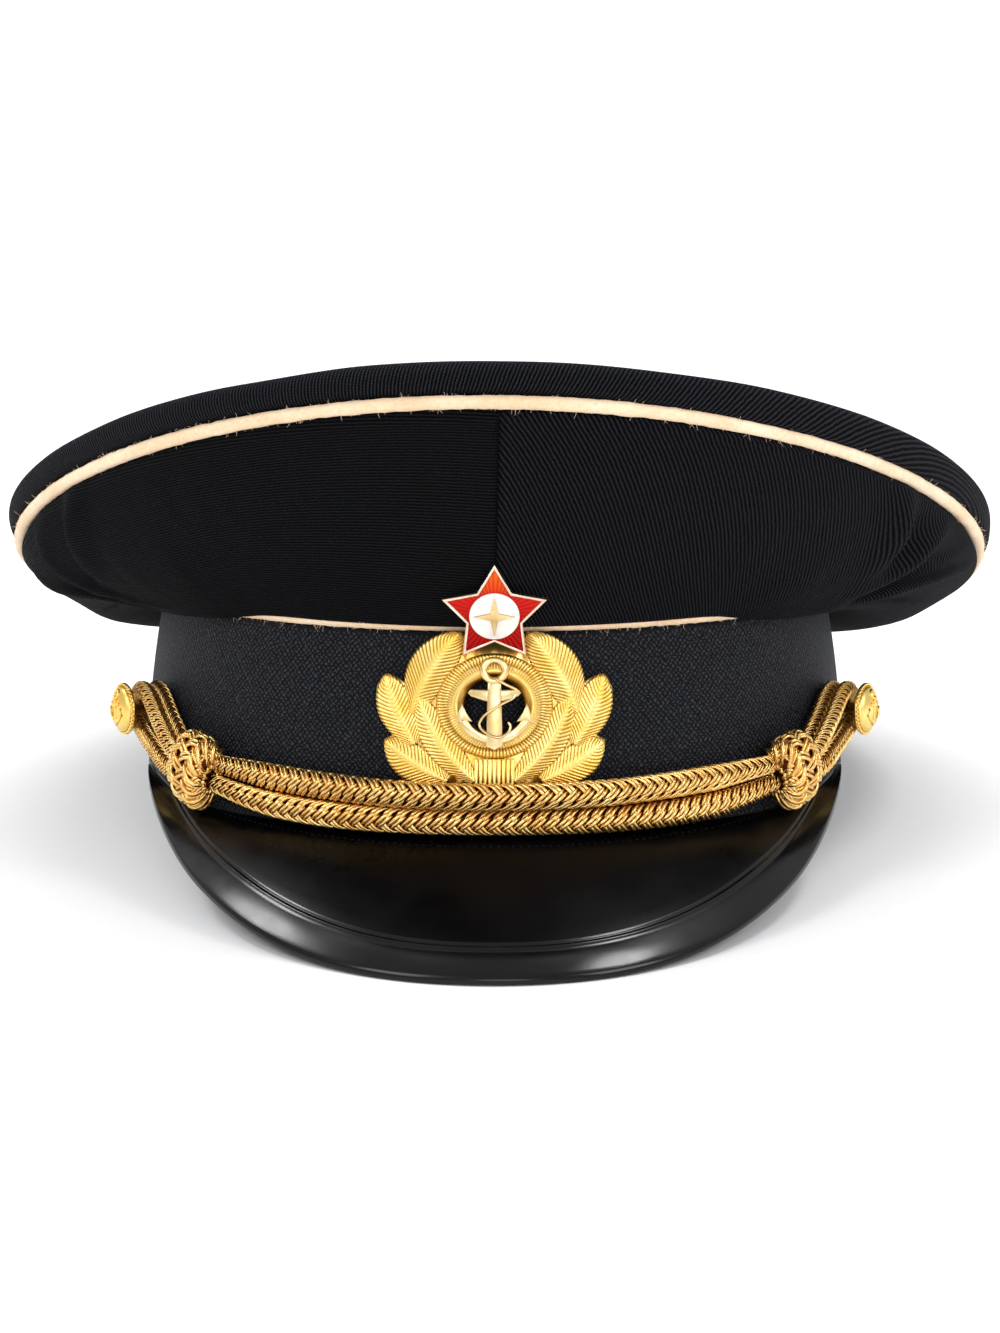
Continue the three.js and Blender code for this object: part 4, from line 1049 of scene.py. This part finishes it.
# painted shade in the rib grooves and on the shaded rows
def ringShade(across, along):
    row = ringRow(along)
    return max(row["tarnish"], ringGroove(across, row))


# The plate is pierced inside the ring, so the band shows through, and is cut across so that it can bend.
def piercedPlate():
    bm = bmesh.new()
    outer = [bm.verts.new((x, y, 0)) for x, y in mirrorAcross(wreathHalf)]
    edges = [bm.edges.new(pair) for pair in zip(outer, outer[1:] + outer[:1])]
    hole = bmesh.ops.create_circle(bm, segments=48, radius=1)["verts"]
    bmesh.ops.scale(bm, vec=(ring["inner"][0] + 0.3, ring["inner"][1] + 0.3, 1), verts=hole)
    bmesh.ops.triangle_fill(bm, edges=bm.edges[:], use_beauty=True)
    for k in range(-13, 14):
        bmesh.ops.bisect_plane(bm, geom=bm.verts[:] + bm.edges[:] + bm.faces[:], plane_co=(2.0 * k, 0, 0),
                               plane_no=(1, 0, 0), dist=1e-5)
    bmesh.ops.translate(bm, vec=(0, 0, badge["plate"]), verts=pullFaces(bm, bm.faces[:]))
    return setOnBadge(bm)


def makeStems():
    bodies = []
    for k in range(-stems["aside"], stems["aside"] + 1):
        left = stems["pitch"] * k - stems["wide"] / 2
        right = left + stems["wide"]
        high = badge["plate"] + badge["relief"] + stems["bow"] * math.cos(0.35 * k)
        points = [(left, stems["foot"]), (right, stems["foot"]), (right, stems["head"]),
                  (left, stems["head"])]
        bodies.append(setOnBadge(plateOf(points, 0.2, high, 0.3)))
    return bodies


ringBody = setOnBadge(gridOf(ringPlace, ring["columns"], len(ringRows), shadeAt=ringShade))
stamped = [piercedPlate(), ringBody] + makeStems()
stamped += [makeLeaf(leaf, side) for leaf in leaves for side in (1, -1)]
showPiece(joinPieces("badgeWreath", [(body, 0) for body in stamped], gilt), "gilt_brass", "badge_wreath")
print("wreath done")

# The anchor with a rope laid round it
ropePath = [(0.3, 6.3, 4.4), (2.6, 5.0, 4.4), (5.0, 3.6, 4.3), (4.2, 1.9, 4.2), (1.9, 0.6, 4.6),
            (-0.4, -0.9, 4.7), (-2.4, -2.4, 4.2), (-3.4, -4.4, 3.9), (-2.0, -6.2, 4.3), (0.6, -7.3, 4.7),
            (2.6, -6.6, 4.3), (3.6, -5.0, 3.9), (3.0, -3.6, 3.8)]


def ropeLine():
    points = []
    for i in range(len(ropePath) - 1):
        near = [Vector(ropePath[min(max(i + k, 0), len(ropePath) - 1)]) for k in (-1, 0, 1, 2)]
        handles = near[1] + (near[2] - near[0]) / 6, near[2] - (near[3] - near[1]) / 6
        points += interpolate_bezier(near[1], *handles, near[2], 7)[:-1]
    return [(onBadge(point), 1) for point in points]


bodies = [setOnBadge(body) for body in anchorBodies(anchor["base"])]
bodies.append(wiresOf([ropeLine()], anchor["rope"], 8))
showPiece(joinPieces("badgeAnchor", [(body, 0) for body in bodies], paleGilt), "pale_gilt", "badge_anchor")
print("anchor done")

# The star: a gilt frame round red enamel, with a white disc and a compass rose
star = {"radius": 12.9, "waist": 6.9, "plate": 1.2, "frame": 0.66, "bed": 0.5, "disc": 5.86, "up": 21.6,
        "lean": math.radians(26), "seat": -0.25}
starOff = (badge["plate"] + badge["relief"] + star["seat"]
           + star["radius"] * math.cos(math.pi / 5) * math.sin(star["lean"]))
onStar = {"up": star["up"], "off": starOff, "lean": star["lean"], "bend": 1e4}


def starCorners(points, radius, waist, inset=0.0):
    step = math.pi / points
    edge = math.hypot(waist * math.sin(step), radius - waist * math.cos(step))
    scale = 1 - inset * edge / (radius * waist * math.sin(step))
    reaches = [(waist if k % 2 else radius) * scale for k in range(2 * points)]
    return [(-reach * math.sin(k * step), reach * math.cos(k * step)) for k, reach in enumerate(reaches)]


def starFrame():
    high, bed = star["plate"], star["plate"] - star["bed"]
    bm = bmesh.new()
    loops = [[bm.verts.new((x, y, z)) for x, y in starCorners(5, star["radius"], star["waist"], inset)]
             for inset, z in ((0, 0), (0, high), (star["frame"], high), (star["frame"], bed))]
    for a, b in zip(loops, loops[1:]):
        for k in range(10):
            bm.faces.new((a[k], a[(k + 1) % 10], b[(k + 1) % 10], b[k]))
    bm.faces.new(loops[3])
    bm.faces.new(list(reversed(loops[0])))
    bmesh.ops.recalc_face_normals(bm, faces=bm.faces)
    rims = [bm.edges.get((loop[k], loop[(k + 1) % 10])) for loop in loops[1:3] for k in range(10)]
    bmesh.ops.bevel(bm, geom=rims, offset=0.2, offset_type="OFFSET", affect="EDGES", segments=2,
                    profile=0.5, material=-1)
    return setOnBadge(bm, **onStar)


# Red enamel: translucent glass fired over a ground of rays cut from the star's middle, so the colour
# deepens between the rays.
def redGlass():
    material, shader = newMaterial("redEnamel", Roughness=0.25, Specular_IOR_Level=0.12)
    place = addNode(material, "ShaderNodeTexCoord")
    spread = addNode(material, "ShaderNodeSeparateXYZ", Vector=place.outputs["UV"])
    turn = addNode(material, "ShaderNodeMath", {"operation": "ARCTAN2"}, _0=spread.outputs["Y"],
                   _1=spread.outputs["X"])
    rays = addNode(material, "ShaderNodeMath", {"operation": "MULTIPLY", 1: 50.0}, _0=turn.outputs[0])
    wave = addNode(material, "ShaderNodeMath", {"operation": "SINE"}, _0=rays.outputs[0])
    level = addNode(material, "ShaderNodeMapRange", {"From Min": -1.0, "From Max": 1.0, "To Min": 0.6},
                    Value=wave.outputs[0])
    # the red is painted orange towards the top arm and deeper at the lower arms: painted light, the top lit
    # more
    height = addNode(material, "ShaderNodeMapRange", {"From Min": -11.0, "From Max": 11.0},
                     Value=spread.outputs["Y"])
    ramp = addNode(material, "ShaderNodeValToRGB", _0=height.outputs[0])
    setColours(ramp, (0.1, "#A80A06"), (0.7, "#D81808"), (0.95, "#F86010"))
    tone = addNode(material, "ShaderNodeMix", {"data_type": "RGBA", "blend_type": "MULTIPLY", 0: 1.0},
                   _6=ramp.outputs[0], _7=level.outputs[0])
    bump = addNode(material, "ShaderNodeBump", {"Strength": 0.25, "Distance": 0.0002},
                   Height=wave.outputs[0])
    return feedShader(material, shader, Base_Color=tone.outputs[2], Normal=bump.outputs[0])


# White enamel: opaque glass, a little uneven from firing. The painted floor is clouded in the same way.
def clouded(name, low, high, roughness, coat):
    material, shader = newMaterial(name, Roughness=roughness, Coat_Weight=coat, Coat_Roughness=0.06)
    place = addNode(material, "ShaderNodeTexCoord")
    cloud = addNode(material, "ShaderNodeTexNoise", {"Scale": 260, "Detail": 3.0},
                    Vector=place.outputs["Object"])
    ramp = addNode(material, "ShaderNodeValToRGB", _0=cloud.outputs["Fac"])
    setColours(ramp, (0.3, low), (0.7, high))
    return feedShader(material, shader, Base_Color=ramp.outputs[0])


redEnamel = redGlass()
whiteEnamel = clouded("whiteEnamel", "#EDE2D8", "#F8F2EC", 0.2, 0.4)
turns = [2 * math.pi * k / 64 for k in range(64)]
circle = [(star["disc"] * math.cos(turn), star["disc"] * math.sin(turn)) for turn in turns]
enamelShape = starCorners(5, star["radius"], star["waist"], star["frame"] + 0.04)
flatPieces = (
    ("badgeEnamel", plateOf(enamelShape, 0.75, 1.08, 0.06), "red_enamel", "badge_enamel", redEnamel),
    ("badgeDisc", plateOf(circle, 1.3, 1.85, 0.15), "white_enamel", "badge_disc", whiteEnamel),
    ("badgeRose", plateOf(starCorners(4, 4.9, 1.25), 1.88, 2.3, 0.12), "pale_gilt", "badge_rose", paleGilt))
showPiece(joinPieces("badgeStar", [(starFrame(), 0)], roseGilt), "pale_gilt", "badge_star")
for name, body, slotName, node, material in flatPieces:
    showPiece(joinPieces(name, [(setOnBadge(body, **onStar), 0)], material), slotName, node)
print("star done")

# Stage, light and camera
stage = {"floor": 3.0, "rows": 40, "bend": 1.2, "steep": 0.5}
paleFloor = clouded("paleFloor", "#F9F9FA", "#FBFBFB", 0.9, 0.0)
bm = bmesh.new()
bmesh.ops.create_grid(bm, x_segments=1, y_segments=stage["rows"], size=stage["floor"])
for vert in bm.verts:  # the floor curves up far behind the cap
    vert.co.z = max(vert.co.y - stage["bend"], 0) ** 2 * stage["steep"]
floor = newPiece("floor", bm, paleFloor)

lamps = asRows(
    "name place aim size power",
    ("keyLamp", (-0.75, -0.75, 0.85), (0, 0, 0.05), 0.5, 4.4),
    ("fillLamp", (0.9, -0.65, 0.7), (0, 0, 0.05), 0.5, 4.2),
    ("leftBox", (-0.74, 0.27, 0.92), (0, 0, 0.05), 0.2, 3),
    ("rightBox", (0.53, 0, 1.08), (0, 0, 0.05), 0.2, 3),
    ("topLamp", (0, 0.45, 1.15), (0, 0, 0.05), 0.8, 2),
    ("frontLamp", (0.1, -1.5, 0.55), (0, 0, 0.05), 0.5, 3.5),
    ("backdropLamp", (0, 0.9, 1.9), (0, 2.4, 0.2), 1.6, 14))
for lamp in lamps:
    data = bpy.data.lights.new(lamp["name"], "AREA")
    data.size, data.energy = lamp["size"], lamp["power"]
    obj = bpy.data.objects.new(lamp["name"], data)
    obj.location = lamp["place"]
    obj.rotation_euler = (Vector(lamp["aim"]) - obj.location).to_track_quat("-Z", "Y").to_euler()
    bpy.context.scene.collection.objects.link(obj)
world = bpy.data.worlds.new("softRoom")
world.use_nodes = True
world.node_tree.nodes["Background"].inputs[0].default_value = linear("#F6F7F9")
world.node_tree.nodes["Background"].inputs[1].default_value = 0.7
bpy.context.scene.world = world
bpy.context.scene.view_settings.view_transform = "Standard"

view = {"aim": (0.0001, 0.00476, 0.03799), "elevation": 13.246, "distance": 1.1, "lens": 114.37}
a = math.radians(view["elevation"])
back = Vector((0, -math.cos(a), math.sin(a)))
camera = bpy.data.objects.new("camera", bpy.data.cameras.new("camera"))
camera.data.lens, camera.data.sensor_width = view["lens"], 36
camera.data.clip_start, camera.data.clip_end = 0.05, 20
camera.location = Vector(view["aim"]) + back * view["distance"]
camera.rotation_euler = (-back).to_track_quat("-Z", "Y").to_euler()
bpy.context.scene.collection.objects.link(camera)
bpy.context.scene.camera = camera
